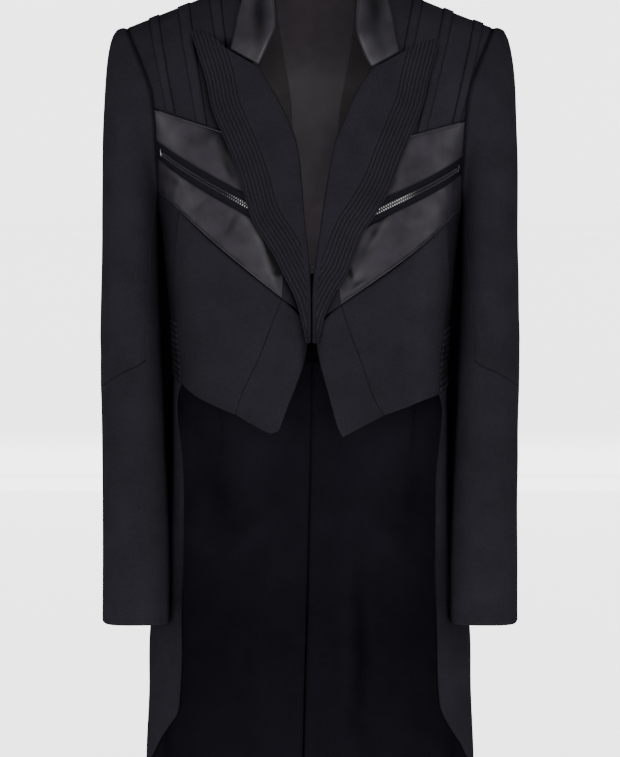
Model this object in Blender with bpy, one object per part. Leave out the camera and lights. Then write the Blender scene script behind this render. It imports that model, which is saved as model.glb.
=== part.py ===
import math

import bmesh
import bpy
from mathutils import Vector

for old in list(bpy.data.objects):
    bpy.data.objects.remove(old, do_unlink=True)

# Driving dimensions in millimetres, apart from the angles, which are in degrees.
# Across runs outwards from the middle of the body, depth runs backwards and height upwards.
# The origin is the middle of the neck, level with the two neck points of the shoulders.
MM = 0.001
RIGHT, LEFT = "right", "left"
SIGN = {RIGHT: -1, LEFT: 1}
CLOTH_WALL = 1.6
SATIN_WALL = 1.2
LINING_WALL = 1.0
SEAM_GAP = 0.3
NORMAL_STEPS = (0.4, 0.01)
NECK_HALF_WIDTH = 73
SHOULDER_SLOPE = 0.39
SHOULDER_TIP_ACROSS = 190
SHOULDER_TIP = (SHOULDER_TIP_ACROSS, SHOULDER_SLOPE * (NECK_HALF_WIDTH - SHOULDER_TIP_ACROSS))
SHOULDER_STEPS = 24
BACK_NECK = ((0, 8), (30, 6), (58, 3), (NECK_HALF_WIDTH, 0))
NAPE_FOOT = -50
FRONT_ROLL = 95
BACK_ROLL = 120
SQUARENESS = 0.88
ARMPIT_HEIGHT = -245
WAIST_HEIGHT = -395
HEM_HEIGHT = -879

# Height, half width, depth of the front and depth of the back of the body.
BODY_SECTIONS = (
    (60, 262, 112, 100),
    (-10, 250, 112, 102),
    (-60, 231, 113, 105),
    (-120, 196, 118, 108),
    (-180, 170, 125, 108),
    (-245, 157, 126, 104),
    (-310, 150, 116, 94),
    (-360, 145.5, 104, 85),
    (-400, 143.5, 98, 80),
    (-450, 146.3, 98, 86),
    (-520, 150, 96, 98),
    (-600, 158.5, 90, 108),
    (-671, 167.5, 86, 114),
    (-740, 167.5, 84, 116),
    (-810, 168.5, 84, 118),
    (-900, 168, 84, 118),
)

# Angle from the front, spread, height of the start, height of the full depth, and depth of the tails' folds,
# where the body is this wide.
TAIL_FOLD_RADIUS = 150
TAIL_FOLDS = (
    (76, 16, -640, -860, 5),
    (104, 14, -560, -860, -7),
    (127, 13, -520, -860, 8),
    (150, 12, -500, -860, -8),
    (168, 10, -560, -860, 5),
)

# Across and height of the armhole's front and back edges.
ARMHOLE_FRONT = (SHOULDER_TIP, (184, -62), (176, -80), (168, -100), (162, -118), (160, -134),
                 (158, -168), (157, -195), (156.5, -220), (157, -245))
ARMHOLE_BACK = (SHOULDER_TIP, (184, -70), (176, -105), (170, -145), (165, -185), (160, -222), (157, -245))

# Seams and edges of each front, as across and height, from the neck or the armhole to the closing.
ROLL_LINE = {
    RIGHT: ((52, -97), (28, -139), (18, -161), (12, -182), (8, -215), (5, -254), (1, -292), (-1, -322),
            (-1, -376)),
    LEFT: ((62, -99), (43, -131), (37, -146), (26, -171), (20, -199), (15, -230), (6, -292), (3, -322),
           (3, -376)),
}
LAPEL_EDGE = {
    RIGHT: ((120, -59), (112, -84), (104, -109), (98, -138), (88, -163), (71, -206), (58, -250), (38, -284),
            (24, -312), (13, -336), (4, -376)),
    LEFT: ((130, -68), (120, -104), (112, -137), (100, -167), (89, -194), (79, -221), (64, -248), (52, -267),
           (38, -304), (27, -322), (16, -345), (8, -376)),
}
LAPEL_TOP = {
    RIGHT: ((52, -97), (81, -80), (94, -69), (107, -61), (120, -59)),
    LEFT: ((62, -99), (91, -83), (105, -76), (117, -71), (130, -68)),
}
NECK_EDGE = {
    RIGHT: ((73, 0), (69, -50), (56, -97), (32, -139), (15, -190)),
    LEFT: ((73, 0), (73, -50), (67.5, -99), (49, -131), (25.5, -192)),
}
SATIN_TOP = {RIGHT: ((15, -190), (88, -163), -136), LEFT: ((25.5, -192), (100, -167), -148)}
ZIP_TOP = {RIGHT: ((8, -262), (64, -227), -168), LEFT: ((15, -262), (75, -230), -184)}
ZIP_BOTTOM = {RIGHT: ((6, -284), (48, -256), -184), LEFT: ((11, -287), (81, -246), -200)}
SATIN_BOTTOM = {
    RIGHT: ((3, -352), (28, -330), (134, -238), -220),
    LEFT: ((7, -357), (31, -336), (141, -250), -237),
}
DART = {
    RIGHT: ((28, -330), (41, -363), (53, -393), (68, -424), (76, -449)),
    LEFT: ((31, -336), (41, -366), (54, -400), (64, -429), (75, -450)),
}
SIDE_FRONT = {
    RIGHT: ((134, -238), (139, -285), (141.5, -318), (138, -352), (133, -417)),
    LEFT: ((141, -250), (143, -290), (144, -315), (138.5, -361), (134, -428)),
}
SIDE_BACK = ((140, -230), (122, -290), (112, -342), (106, -395))
SIDE_BACK_TOP = -172
CUTAWAY = {
    RIGHT: ((3, -352), (3, -379), (6, -396), (14, -419), (22, -439), (29, -458), (32, -465), (38, -468)),
    LEFT: ((7, -357), (7, -379), (10, -396), (16, -418), (21, -436), (27, -458), (33, -472)),
}
FRONT_HEM = {
    RIGHT: ((38, -468), (46, -466), (76, -449), (113, -433), (125, -425), (133, -417)),
    LEFT: ((33, -472), (52, -462), (75, -450), (113, -436), (127, -431), (134, -428)),
}

# Heights of the ribbed panel's top and of the waist seam at the side.
RIB_TOP = {RIGHT: -348, LEFT: -355}
WAIST = {RIGHT: -406, LEFT: -416}
RIB_COUNT = 10
RIB_HEIGHT = 1.6

# Angle from the front and height of the tails' front edge, from the waist to the side, and of the hem.
TAIL_EDGE = {
    RIGHT: ((133, -417), (138, -430), (138, -452), (134, -480), (131, -520), (131, -600), (131, -681),
            (133, -742), (136, -758), (143, -769), (152, -785), (160, -804)),
    LEFT: ((134, -428), (138, -444), (135, -476), (131, -510), (130, -560), (129, -640), (130, -690),
           (132, -742), (136, -758), (144, -774), (152, -788), (160, -806)),
}
TAIL_SIDE_HEIGHT = -826
TAIL_HEM = ((90, -826), (108, -848), (125, -866), (142, -876), (180, HEM_HEIGHT))
VENT_EDGE = {RIGHT: -22, LEFT: 2}
VENT_DRIFT = {RIGHT: 0, LEFT: -11}
VENT_STEP = 2.8
VENT_BLEND = (0.1, 0.16)

# Across of each shoulder band's two edges at the shoulder and at its foot, and the height of its foot.
BAND_COLUMNS = (
    "outer_top", "inner_top", "outer_foot", "inner_foot", "outer_foot_height", "inner_foot_height",
)
BANDS = {
    RIGHT: ((168, 157, 147, 137, -138, -142), (138, 125, 116, 104, -150, -155), (106, 93, 93, 82, -88, -92)),
    LEFT: ((181, 170, 154, 145, -148, -151), (150, 139, 119, 108, -159, -163), (118, 107, 102, 91, -92, -96)),
}
BAND_WALL = 1.7
ON_TOP = 0.7

# The lapel's leaf stands off the front by these distances, and its inner turning lies behind the front.
LAPEL_WALL = 2.0
LAPEL_STAND_AT_ROLL = 2.0
LAPEL_STAND_AT_EDGE = (6.2, 5.2, 4.4, 3.5, 3.0)
LAPEL_LIFT = 0.7
LAPEL_TURNING = 13
LAPEL_TURNING_DEPTH = 4.2

ZIP_TAPE_DEPTH = 0.7
ZIP_CHAIN_HALF_WIDTH = 3.0
ZIP_CHAIN_HEIGHT = 1.6
ZIP_CHAIN_OUTER = 150
ZIP_CROSSING_HEIGHT = -242
ZIP_STOP = (2.6, 8.0, 1.6)
ZIP_STOP_ACROSS = 153
UNDER_LAPEL = 13
PIPING_RADIUS = 1.1
PIPING_LIMITS = (22, 154)

# Fold line, outer edge and neck seam of the collar, each as across, depth and height, and the swell of its
# fall at shares of its width.
COLLAR_WALL = 2.2
COLLAR_FOLD_RADIUS = 2.3
COLLAR_FALL = ((0.35, 0.8), (0.7, 0.6))
COLLAR_FRONT = {
    RIGHT: (
        ((52, -115.5, -95.5), (81, -111, -78), (54.3, -109.5, -93.5)),
        ((42, -114, -72), (77, -107, -62), (62, -105, -68)),
        ((35, -108, -53), (74, -100, -44), (66.5, -95, -48)),
        ((38, -91, -26), (70, -84, -23), (69, -75, -25)),
    ),
    LEFT: (
        ((62, -114, -97.5), (91, -108.5, -81), (63.6, -108.5, -95.5)),
        ((54, -113, -80), (88, -105, -68), (67.4, -104, -72)),
        ((47, -109, -58), (84, -97, -45), (70.5, -95, -50)),
        ((49, -92, -28), (79, -81, -23), (71, -76, -25)),
    ),
}
COLLAR_BACK = (
    ((50, -55, 9), (78, -54, -11), (70, -38, -3)),
    ((56, -14, 32), (84, -14, 0), (70, -8, 4)),
    ((53, 24, 43), (80, 30, -3), (64, 15, 7)),
    ((34, 52, 47), (52, 61, -9), (40, 36, 11)),
    ((0, 64, 48), (0, 74, -2), (0, 54.5, 14)),
)

# Edges of the centre back lining as across and height, and the outer edge of the lining beside it.
LINING_CENTRE = {
    RIGHT: ((38, -6), (29, -65), (21, -112), (17, -200), (15, -300)),
    LEFT: ((50, -6), (43, -65), (33, -120), (26, -200), (24, -300)),
}
LINING_SIDE = ((83, -20), (108, -90), (108, -300))
LINING_DEPTH = 3.6

# Height, inner and outer limits across, middle and half of the depth, and turn of each ring of the sleeve.
SLEEVE_RING_TOP = -265
SLEEVE_RINGS = (
    (-265, 157.6, 216.8, 0, 60, 3),
    (-300, 157.2, 217.4, 1, 59, 15),
    (-340, 156, 218, 1, 58, 22),
    (-373, 154.8, 218.4, 0, 58, 22),
    (-410, 152.8, 218, -7, 58, 19),
    (-450, 151, 216, -20, 57, 11),
    (-490, 148.8, 214.5, -36, 56, 3),
    (-530, 146.2, 213, -54, 54, 0),
    (-570, 144.2, 212, -70, 52, 0),
    (-610, 143, 211.3, -83, 51, 0),
    (-645, 142.6, 211, -90, 50, 0),
    (-660, 143, 211, -92, 50, 0),
)
SLEEVE_SQUARENESS = 2.6
CUFF_HEIGHT = -660
SLEEVE_CAP_ROWS = (0, -0.006, -0.022, -0.055, -0.12, -0.25, -0.5, -0.85)
SLEEVE_FRONT_SEAM = ((-117, -2.28), (-130, -2.75), (-155, -3.2), (-160, -4.0), (-160, -4.95))
SLEEVE_BACK_SEAM = 120
ELBOW_SEAM = ((-117, -2.28), (-95, -2.36), (-70, -2.45), (-35, -2.53), (0, -2.57), (60, -2.6), (120, -2.6))
SLEEVE_SEAM_GAP = 0.9

HOOK_HEIGHT = -299
HOOK_ACROSS = 2.5
HOOK_SET_BACK = 1.0
HOOK_WIRE = 0.5
EYE_RADIUS = 1.9
# Across and depth of the hook's wire, which passes through the eye.
HOOK_PATH = ((2.2, 1.7), (0.7, 1.7), (0.1, 1.2), (0, 0), (0.1, -1.2), (0.7, -1.8), (1.9, -2.0))

# Colour, roughness and metallic value of each material.
MATERIALS = {
    "wool": ((0.017, 0.016, 0.021), 0.85, 0.0),
    "satin": ((0.043, 0.041, 0.048), 0.4, 0.0),
    "lining": ((0.030, 0.028, 0.031), 0.45, 0.0),
    "lining_dark": ((0.013, 0.011, 0.012), 0.5, 0.0),
    "zip_tape": ((0.014, 0.014, 0.017), 0.8, 0.0),
    "zip_metal": ((0.62, 0.62, 0.64), 0.25, 1.0),
    "hook_metal": ((0.03, 0.03, 0.035), 0.35, 0.0),
}


def between(rows, at, column=1):
    """Value of a column at a place given in the first column, smoothly between the rows."""
    rows = sorted(rows)
    places = [row[0] for row in rows]
    values = [row[column] for row in rows]
    if at <= places[0]:
        return values[0]
    if at >= places[-1]:
        return values[-1]
    i = max(k for k in range(len(places) - 1) if places[k] <= at)

    def slope(k):
        a, b = max(k - 1, 0), min(k + 1, len(places) - 1)
        return (values[b] - values[a]) / (places[b] - places[a])

    span = places[i + 1] - places[i]
    t = (at - places[i]) / span
    ahead = t * t * (3 - 2 * t)
    leaving = t * (1 - t) ** 2 * span * slope(i)
    arriving = t * t * (t - 1) * span * slope(i + 1)
    return values[i] * (1 - ahead) + values[i + 1] * ahead + leaving + arriving


def across_at(line, height):
    """Across of a line of across and height pairs, at a height."""
    return between([(point[1], point[0]) for point in line], height)


def ease(t):
    t = min(max(t, 0), 1)
    return t * t * (3 - 2 * t)


def shoulder_height(across):
    return SHOULDER_SLOPE * (NECK_HALF_WIDTH - abs(across))


def tail_fold(angle, height):
    total, angle = 0, min(angle, 360 - angle)
    for middle, spread, start, full, depth in TAIL_FOLDS:
        growth = ease((start - height) / (start - full))
        total += depth * growth * math.exp(-((angle - middle) / spread) ** 2)
    return total


def body_point(angle, height):
    """Point on the body at an angle from the front round to the back, for a positive side."""
    turn = math.radians(angle)
    half_width = between(BODY_SECTIONS, height, 1)
    across = half_width * math.sin(turn)
    front = abs(angle) < 90
    depth = between(BODY_SECTIONS, height, 2 if front else 3)
    drop = (shoulder_height(across) - height) / (FRONT_ROLL if front else BACK_ROLL)
    rise = math.sqrt(max(1 - (1 - min(max(drop, 0), 1)) ** 2, 0))
    reach = depth * abs(math.cos(turn)) ** SQUARENESS * rise
    swell = 1 + tail_fold(angle, height) / TAIL_FOLD_RADIUS
    return Vector((across * swell, (-reach if front else reach) * swell, height))


def normal_of(surface, a, b):
    """Outward normal of a surface of two parameters, from small steps along both."""
    step_a, step_b = NORMAL_STEPS
    along = surface(a + step_a, b) - surface(a - step_a, b)
    down = surface(a, b - step_b) - surface(a, b + step_b)
    return down.cross(along).normalized()


def front_place(across, height):
    half_width = between(BODY_SECTIONS, height, 1)
    return math.degrees(math.asin(min(max(across / half_width, -1), 1))), height


def back_place(across, height):
    return 180 - front_place(across, height)[0], height


def armhole_front(height):
    return across_at(ARMHOLE_FRONT, height)


def armhole_back(height):
    return across_at(ARMHOLE_BACK, height)


def through(points, steps=10):
    """Smooth curve through points of a plane, as a fine list of points."""
    if len(points) == 2:
        (ax, ay), (bx, by) = points
        return [(ax + (bx - ax) * k / steps, ay + (by - ay) * k / steps) for k in range(steps + 1)]
    padded = [points[0], *points, points[-1]]
    fine = []
    for i in range(1, len(padded) - 2):
        p0, p1, p2, p3 = padded[i - 1:i + 3]
        for k in range(steps):
            t = k / steps
            weights = (
                -t + 2 * t * t - t ** 3, 2 - 5 * t * t + 3 * t ** 3,
                t + 4 * t * t - 3 * t ** 3, t ** 3 - t * t)
            fine.append(tuple(
                sum(w * p[axis] for w, p in zip(weights, (p0, p1, p2, p3))) / 2 for axis in (0, 1)))
    fine.append(tuple(points[-1]))
    return fine


def spaced(surface, points, count):
    """Places along a curve on a surface, at equal distances."""
    fine = through(points)
    solid = [surface(*place) for place in fine]
    lengths = [0]
    for a, b in zip(solid, solid[1:]):
        lengths.append(lengths[-1] + (b - a).length)
    places = []
    for k in range(count + 1):
        wanted = lengths[-1] * k / count
        i = max(j for j in range(len(lengths) - 1) if lengths[j] <= wanted or j == 0)
        span = lengths[i + 1] - lengths[i]
        t = (wanted - lengths[i]) / span if span else 0
        places.append(tuple(a + (b - a) * t for a, b in zip(fine[i], fine[i + 1])))
    return places


def joined(*parts):
    """One edge from parts that follow each other and share their end places."""
    places = list(parts[0])
    for part in parts[1:]:
        places += part[1:]
    return places


def filled(top, bottom, first, last):
    """Places over a four-sided patch between its four edges."""
    columns, rows = len(top) - 1, len(first) - 1
    grid = []
    for j in range(rows + 1):
        v = j / rows
        line = []
        for i in range(columns + 1):
            u = i / columns
            place = []
            for axis in (0, 1):
                across = (1 - u) * first[j][axis] + u * last[j][axis]
                down = (1 - v) * top[i][axis] + v * bottom[i][axis]
                corners = ((1 - u) * (1 - v) * top[0][axis] + u * (1 - v) * top[-1][axis]
                           + (1 - u) * v * bottom[0][axis] + u * v * bottom[-1][axis])
                place.append(across + down - corners)
            line.append(tuple(place))
        grid.append(line)
    return grid


def inset(points, normals, distance):
    """Move the rim of a grid of points inwards, so that neighbours are apart."""
    rows, columns = len(points) - 1, len(points[0]) - 1
    rim = [(0, i) for i in range(columns)] + [(j, columns) for j in range(rows)]
    rim += [(rows, i) for i in range(columns, 0, -1)] + [(j, 0) for j in range(rows, 0, -1)]
    middle = points[rows // 2][columns // 2]
    pushes = {}
    for k, (j, i) in enumerate(rim):
        before = points[rim[k - 1][0]][rim[k - 1][1]]
        after = points[rim[(k + 1) % len(rim)][0]][rim[(k + 1) % len(rim)][1]]
        here, normal = points[j][i], normals[j][i]
        sides = [normal.cross(along).normalized() for along in (here - before, after - here)]
        share = 1 + sides[0].dot(sides[1])
        pushes[(j, i)] = (sides[0] + sides[1]) / max(share, 0.5)
    turned = sum(push.dot(middle - points[j][i]) for (j, i), push in pushes.items())
    for (j, i), push in pushes.items():
        points[j][i] = points[j][i] + push * (distance if turned > 0 else -distance)


def laid(surface, grid, out):
    """Points of a patch on a surface, moved out from it, and the surface's normals there."""
    points, normals = [], []
    for j, line in enumerate(grid):
        normals.append([normal_of(surface, *place) for place in line])
        heights = [out] * len(line)
        if callable(out):
            heights = [out(i / (len(line) - 1), j / (len(grid) - 1)) for i in range(len(line))]
        points.append([
            surface(*place) + normal * height for place, normal, height in zip(line, normals[-1], heights)])
    inset(points, normals, SEAM_GAP / 2)
    return points, normals


def material(name):
    made = bpy.data.materials.get(name)
    if made is None:
        colour, roughness, metallic = MATERIALS[name]
        made = bpy.data.materials.new(name)
        made.use_nodes = True
        shader = made.node_tree.nodes["Principled BSDF"]
        shader.inputs["Base Color"].default_value = (*colour, 1)
        shader.inputs["Roughness"].default_value = roughness
        shader.inputs["Metallic"].default_value = metallic
        made.diffuse_color = (*colour, 1)
    return made


def place_object(name, data, look):
    data.materials.append(material(look))
    made = bpy.data.objects.new(name, data)
    bpy.data.collections["tailcoat_blazer"].objects.link(made)
    return made


def wall_from(name, outer, inner, look, side):
    """Closed wall of cloth between a grid of points on its outer face and one on its inner face."""
    rows, columns = len(outer) - 1, len(outer[0]) - 1
    cloth = bmesh.new()
    bmesh.ops.create_grid(cloth, x_segments=columns, y_segments=rows, size=1)
    first = list(cloth.verts)
    raised = bmesh.ops.extrude_face_region(cloth, geom=cloth.faces, use_keep_orig=True)["geom"]
    second = [item for item in raised if isinstance(item, bmesh.types.BMVert)]
    for verts, points in ((first, inner), (second, outer)):
        for vert in verts:
            point = points[round((1 - vert.co.y) / 2 * rows)][round((vert.co.x + 1) / 2 * columns)]
            vert.co = Vector((point.x * SIGN[side], point.y, point.z)) * MM
    bmesh.ops.recalc_face_normals(cloth, faces=cloth.faces)
    if cloth.calc_volume(signed=True) < 0:
        bmesh.ops.reverse_faces(cloth, faces=cloth.faces)
    mesh = bpy.data.meshes.new(name)
    cloth.to_mesh(mesh)
    cloth.free()
    mesh.shade_smooth()
    mesh.set_sharp_from_angle(angle=math.radians(40))
    return place_object(name, mesh, look)


def moved(points, normals, distance):
    """A grid of points moved along its normals, by one distance or by a grid of distances."""
    by_point = distance if isinstance(distance, list) else [[distance] * len(line) for line in points]
    return [[p + n * d for p, n, d in zip(*lines)] for lines in zip(points, normals, by_point)]


def panel(name, side, edges, look="wool", wall=CLOTH_WALL, out=0, surface=body_point, relief=None):
    """One piece of cloth between four edges on the body or on another surface."""
    points, normals = laid(surface, filled(*edges), out)
    outer = moved(points, normals, relief) if relief else points
    return wall_from(name, outer, moved(points, normals, -wall), look, side)


def front_line(points, count):
    return spaced(body_point, [front_place(*point) for point in points], count)


def back_line(points, count):
    return spaced(body_point, [back_place(*point) for point in points], count)


def armhole_front_line(start, end, count):
    steps = [start + (end - start) * k / 8 for k in range(9)]
    return front_line([(armhole_front(height), height) for height in steps], count)


def armhole_back_line(start, end, count):
    steps = [start + (end - start) * k / 8 for k in range(9)]
    return back_line([(armhole_back(height), height) for height in steps], count)


def armhole_edges(side):
    """Armhole edge of each piece that meets it, from the shoulder down the front and up the back."""
    heights = [row[side][-1] for row in (SATIN_TOP, ZIP_TOP, ZIP_BOTTOM, SATIN_BOTTOM)]
    tip = ARMHOLE_FRONT[0][1]
    return {
        "yoke": armhole_front_line(tip, heights[0], 7),
        "satin_upper": armhole_front_line(heights[0], heights[1], 2),
        "zip_tape": armhole_front_line(heights[1], heights[2], 1),
        "satin_lower": armhole_front_line(heights[2], heights[3], 2),
        "side_front": armhole_front_line(heights[3], ARMPIT_HEIGHT, 2),
        "side_back": armhole_back_line(ARMPIT_HEIGHT, SIDE_BACK_TOP, 4),
        "back": armhole_back_line(tip, SIDE_BACK_TOP, 6),
    }


def chest_line(row):
    """Points of a seam that ends on the armhole at the height that its row ends with."""
    *points, height = row
    return [*points, (armhole_front(height), height)]


def roll_part(side, start, end, count):
    """Inner edge of a front between two seams, behind the lapel's fold."""
    first = start[0] - across_at(ROLL_LINE[side], start[1])
    last = end[0] - across_at(ROLL_LINE[side], end[1])
    points = []
    for k in range(5):
        height = start[1] + (end[1] - start[1]) * k / 4
        points.append((across_at(ROLL_LINE[side], height) + first + (last - first) * k / 4, height))
    return front_line(points, count)


def side_front_parts(side):
    """The side front seam above the ribs and beside them."""
    *upper, foot = SIDE_FRONT[side]
    return upper, (upper[-1], foot)


def side_back_parts():
    """The side back seam above the ribs and beside them."""
    return ((armhole_back(SIDE_BACK_TOP), SIDE_BACK_TOP), *SIDE_BACK[:3]), SIDE_BACK[2:]


def shoulder_points():
    """Points of the shoulder seam, which runs along the ridge between front and back."""
    length = SHOULDER_TIP_ACROSS - NECK_HALF_WIDTH
    places = [NECK_HALF_WIDTH + length * k / SHOULDER_STEPS for k in range(SHOULDER_STEPS + 1)]
    return [(across, shoulder_height(across)) for across in places]


def make_fronts(side):
    """Yoke, two satin panels, zip tape, side front and pointed front of one side."""
    satin_top, zip_top, zip_bottom = (chest_line(row[side]) for row in (SATIN_TOP, ZIP_TOP, ZIP_BOTTOM))
    satin_bottom = chest_line(SATIN_BOTTOM[side])
    armhole = armhole_edges(side)
    neck = NECK_EDGE[side]
    panel(f"{side}_front_yoke", side, (
        front_line(shoulder_points(), 7), front_line(satin_top, 7),
        joined(front_line(neck[:2], 3), front_line(neck[1:], 4)), armhole["yoke"]))
    panel(f"{side}_satin_upper", side, (
        front_line(satin_top, 7), front_line(zip_top, 7),
        roll_part(side, satin_top[0], zip_top[0], 2), armhole["satin_upper"]), "satin", SATIN_WALL)
    panel(f"{side}_zip_tape", side, (
        front_line(zip_top, 8), front_line(zip_bottom, 8),
        roll_part(side, zip_top[0], zip_bottom[0], 1), armhole["zip_tape"]),
        "zip_tape", LINING_WALL, -ZIP_TAPE_DEPTH)
    low_tip, corner = satin_bottom[1], satin_bottom[2]
    under_satin = front_line((low_tip, corner), 6)
    panel(f"{side}_satin_lower", side, (
        front_line(zip_bottom, 9),
        joined(front_line(satin_bottom[:2], 2), under_satin, front_line(satin_bottom[2:], 1)),
        roll_part(side, zip_bottom[0], satin_bottom[0], 2), armhole["satin_lower"]), "satin", SATIN_WALL)
    upper, lower = side_front_parts(side)
    dart = front_line(DART[side], 8)
    panel(f"{side}_front_side", side, (
        under_satin, front_line(FRONT_HEM[side][2:], 6),
        dart, joined(front_line(upper, 5), front_line(lower, 3))))
    panel(f"{side}_front_point", side, (
        front_line(satin_bottom[:2], 2), front_line(FRONT_HEM[side][:3], 2),
        front_line(CUTAWAY[side], 8), dart))


def waist_side(side):
    """Waist seam from the side front round to the side back."""
    return [front_place(*SIDE_FRONT[side][-1]), (90, WAIST[side]), back_place(*SIDE_BACK[-1])]


def make_side(side):
    """Plain upper side panel and ribbed lower side panel."""
    upper, lower = side_front_parts(side)
    back_upper, back_lower = side_back_parts()
    satin_bottom = chest_line(SATIN_BOTTOM[side])
    armhole = armhole_edges(side)
    rib_line = [front_place(*upper[-1]), (90, RIB_TOP[side]), back_place(*SIDE_BACK[2])]
    panel(f"{side}_side_upper", side, (
        joined(front_line(satin_bottom[2:], 1), armhole["side_front"], armhole["side_back"]),
        spaced(body_point, rib_line, 7), front_line(upper, 5), back_line(back_upper, 5)))
    rows = RIB_COUNT * 2
    relief = [[RIB_HEIGHT if j % 2 and 0 < i < 7 else 0.0 for i in range(8)] for j in range(rows + 1)]
    panel(f"{side}_side_ribbed", side, (
        spaced(body_point, rib_line, 7), spaced(body_point, waist_side(side), 7),
        front_line(lower, rows), back_line(back_lower, rows)), relief=relief)


def make_back(side):
    """Half of the back, from the neck and shoulder to the waist."""
    upper, lower = side_back_parts()
    panel(f"{side}_back", side, (
        joined(back_line(BACK_NECK, 3), back_line(shoulder_points(), 5)),
        back_line(((0, WAIST_HEIGHT), SIDE_BACK[-1]), 8),
        joined(back_line((BACK_NECK[0], (0, NAPE_FOOT)), 4),
               back_line(((0, NAPE_FOOT), (0, WAIST_HEIGHT)), 9)),
        joined(armhole_edges(side)["back"], back_line(upper, 5), back_line(lower, 2))))


def make_tail(side):
    """One tail, from the waist seam to the hem, with the vent's overlap at the centre back."""
    vent_top = (VENT_EDGE[side], WAIST_HEIGHT)
    vent_foot = (VENT_EDGE[side] + VENT_DRIFT[side], HEM_HEIGHT)
    edge = [*(front_place(*point) for point in TAIL_EDGE[side]), (90, TAIL_SIDE_HEIGHT)]
    hem = [*TAIL_HEM[:-1], back_place(*vent_foot)]
    waist = joined(back_line((vent_top, SIDE_BACK[-1]), 4), spaced(body_point, waist_side(side)[::-1], 7))

    def step_in(u, v):
        if side == RIGHT:
            return 0
        return -VENT_STEP * (1 - ease((u - VENT_BLEND[0]) / VENT_BLEND[1]))

    panel(f"{side}_tail", side, (
        waist, spaced(body_point, hem[::-1], 11),
        spaced(body_point, (back_place(*vent_top), back_place(*vent_foot)), 14),
        spaced(body_point, edge, 14)), out=step_in)


def make_bands(side):
    """Three raised bands that run down from the shoulder over the yoke."""
    for number, row in enumerate(BANDS[side], 1):
        band = dict(zip(BAND_COLUMNS, row))
        edges = {}
        for edge in ("inner", "outer"):
            top, foot, foot_height = band[f"{edge}_top"], band[f"{edge}_foot"], band[f"{edge}_foot_height"]
            start = shoulder_height(top)
            points = []
            for k in range(6):
                height = start + (foot_height - start) * (k / 5) ** 1.5
                points.append((top + (foot - top) * (height - start) / (foot_height - start), height))
            edges[edge] = front_line(points, 9)
        panel(f"{side}_shoulder_band_{number}", side, (
            [edges["inner"][0], edges["outer"][0]], [edges["inner"][-1], edges["outer"][-1]],
            edges["inner"], edges["outer"]), wall=BAND_WALL, out=ON_TOP + BAND_WALL)


def make_lapel(side):
    """Lapel leaf, its fold along the roll line and its short turning behind the front."""
    leaf_columns, rows = 6, 15
    grid = filled(front_line(LAPEL_TOP[side], leaf_columns),
                  front_line((ROLL_LINE[side][-1], LAPEL_EDGE[side][-1]), leaf_columns),
                  front_line(ROLL_LINE[side], rows), front_line(LAPEL_EDGE[side], rows))
    fold_radius = (LAPEL_STAND_AT_ROLL + LAPEL_TURNING_DEPTH) / 2
    fold_middle = (LAPEL_STAND_AT_ROLL - LAPEL_TURNING_DEPTH) / 2
    points = []
    for j, line in enumerate(grid):
        place = j / rows * (len(LAPEL_STAND_AT_EDGE) - 1)
        at_edge = between(list(enumerate(LAPEL_STAND_AT_EDGE)), place)
        edge_way = body_point(*line[1]) - body_point(*line[0])
        width = (body_point(*line[-1]) - body_point(*line[0])).length
        outwards = edge_way.normalized()
        roll, normal = body_point(*line[0]), normal_of(body_point, *line[0])
        centre = roll + outwards * (fold_radius + LAPEL_WALL / 2) + normal * fold_middle
        turning_foot = centre + outwards * min(LAPEL_TURNING, width) - normal * fold_radius
        row = [turning_foot, centre + outwards * min(LAPEL_TURNING, width) / 2 - normal * fold_radius]
        for k in range(5):
            swing = math.pi * (k / 4 - 0.5)
            row.append(centre + (normal * math.sin(swing) - outwards * math.cos(swing)) * fold_radius)
        for i in range(2, leaf_columns + 1):
            u = i / leaf_columns
            stand = LAPEL_STAND_AT_ROLL + (at_edge - LAPEL_STAND_AT_ROLL) * u ** LAPEL_LIFT
            row.append(body_point(*line[i]) + normal_of(body_point, *line[i]) * stand)
        points.append(row)
    normals = grid_normals(points)
    inset(points, normals, SEAM_GAP / 2)
    half = LAPEL_WALL / 2
    wall_from(f"{side}_lapel", moved(points, normals, half), moved(points, normals, -half), "wool", side)


def grid_normals(points):
    """Normals of a grid of points, out of the front where the grid starts behind it."""
    rows, columns = len(points) - 1, len(points[0]) - 1
    normals = []
    for j in range(rows + 1):
        line = []
        for i in range(columns + 1):
            along = points[j][min(i + 1, columns)] - points[j][max(i - 1, 0)]
            down = points[min(j + 1, rows)][i] - points[max(j - 1, 0)][i]
            line.append(down.cross(along).normalized())
        normals.append(line)
    return normals


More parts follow.
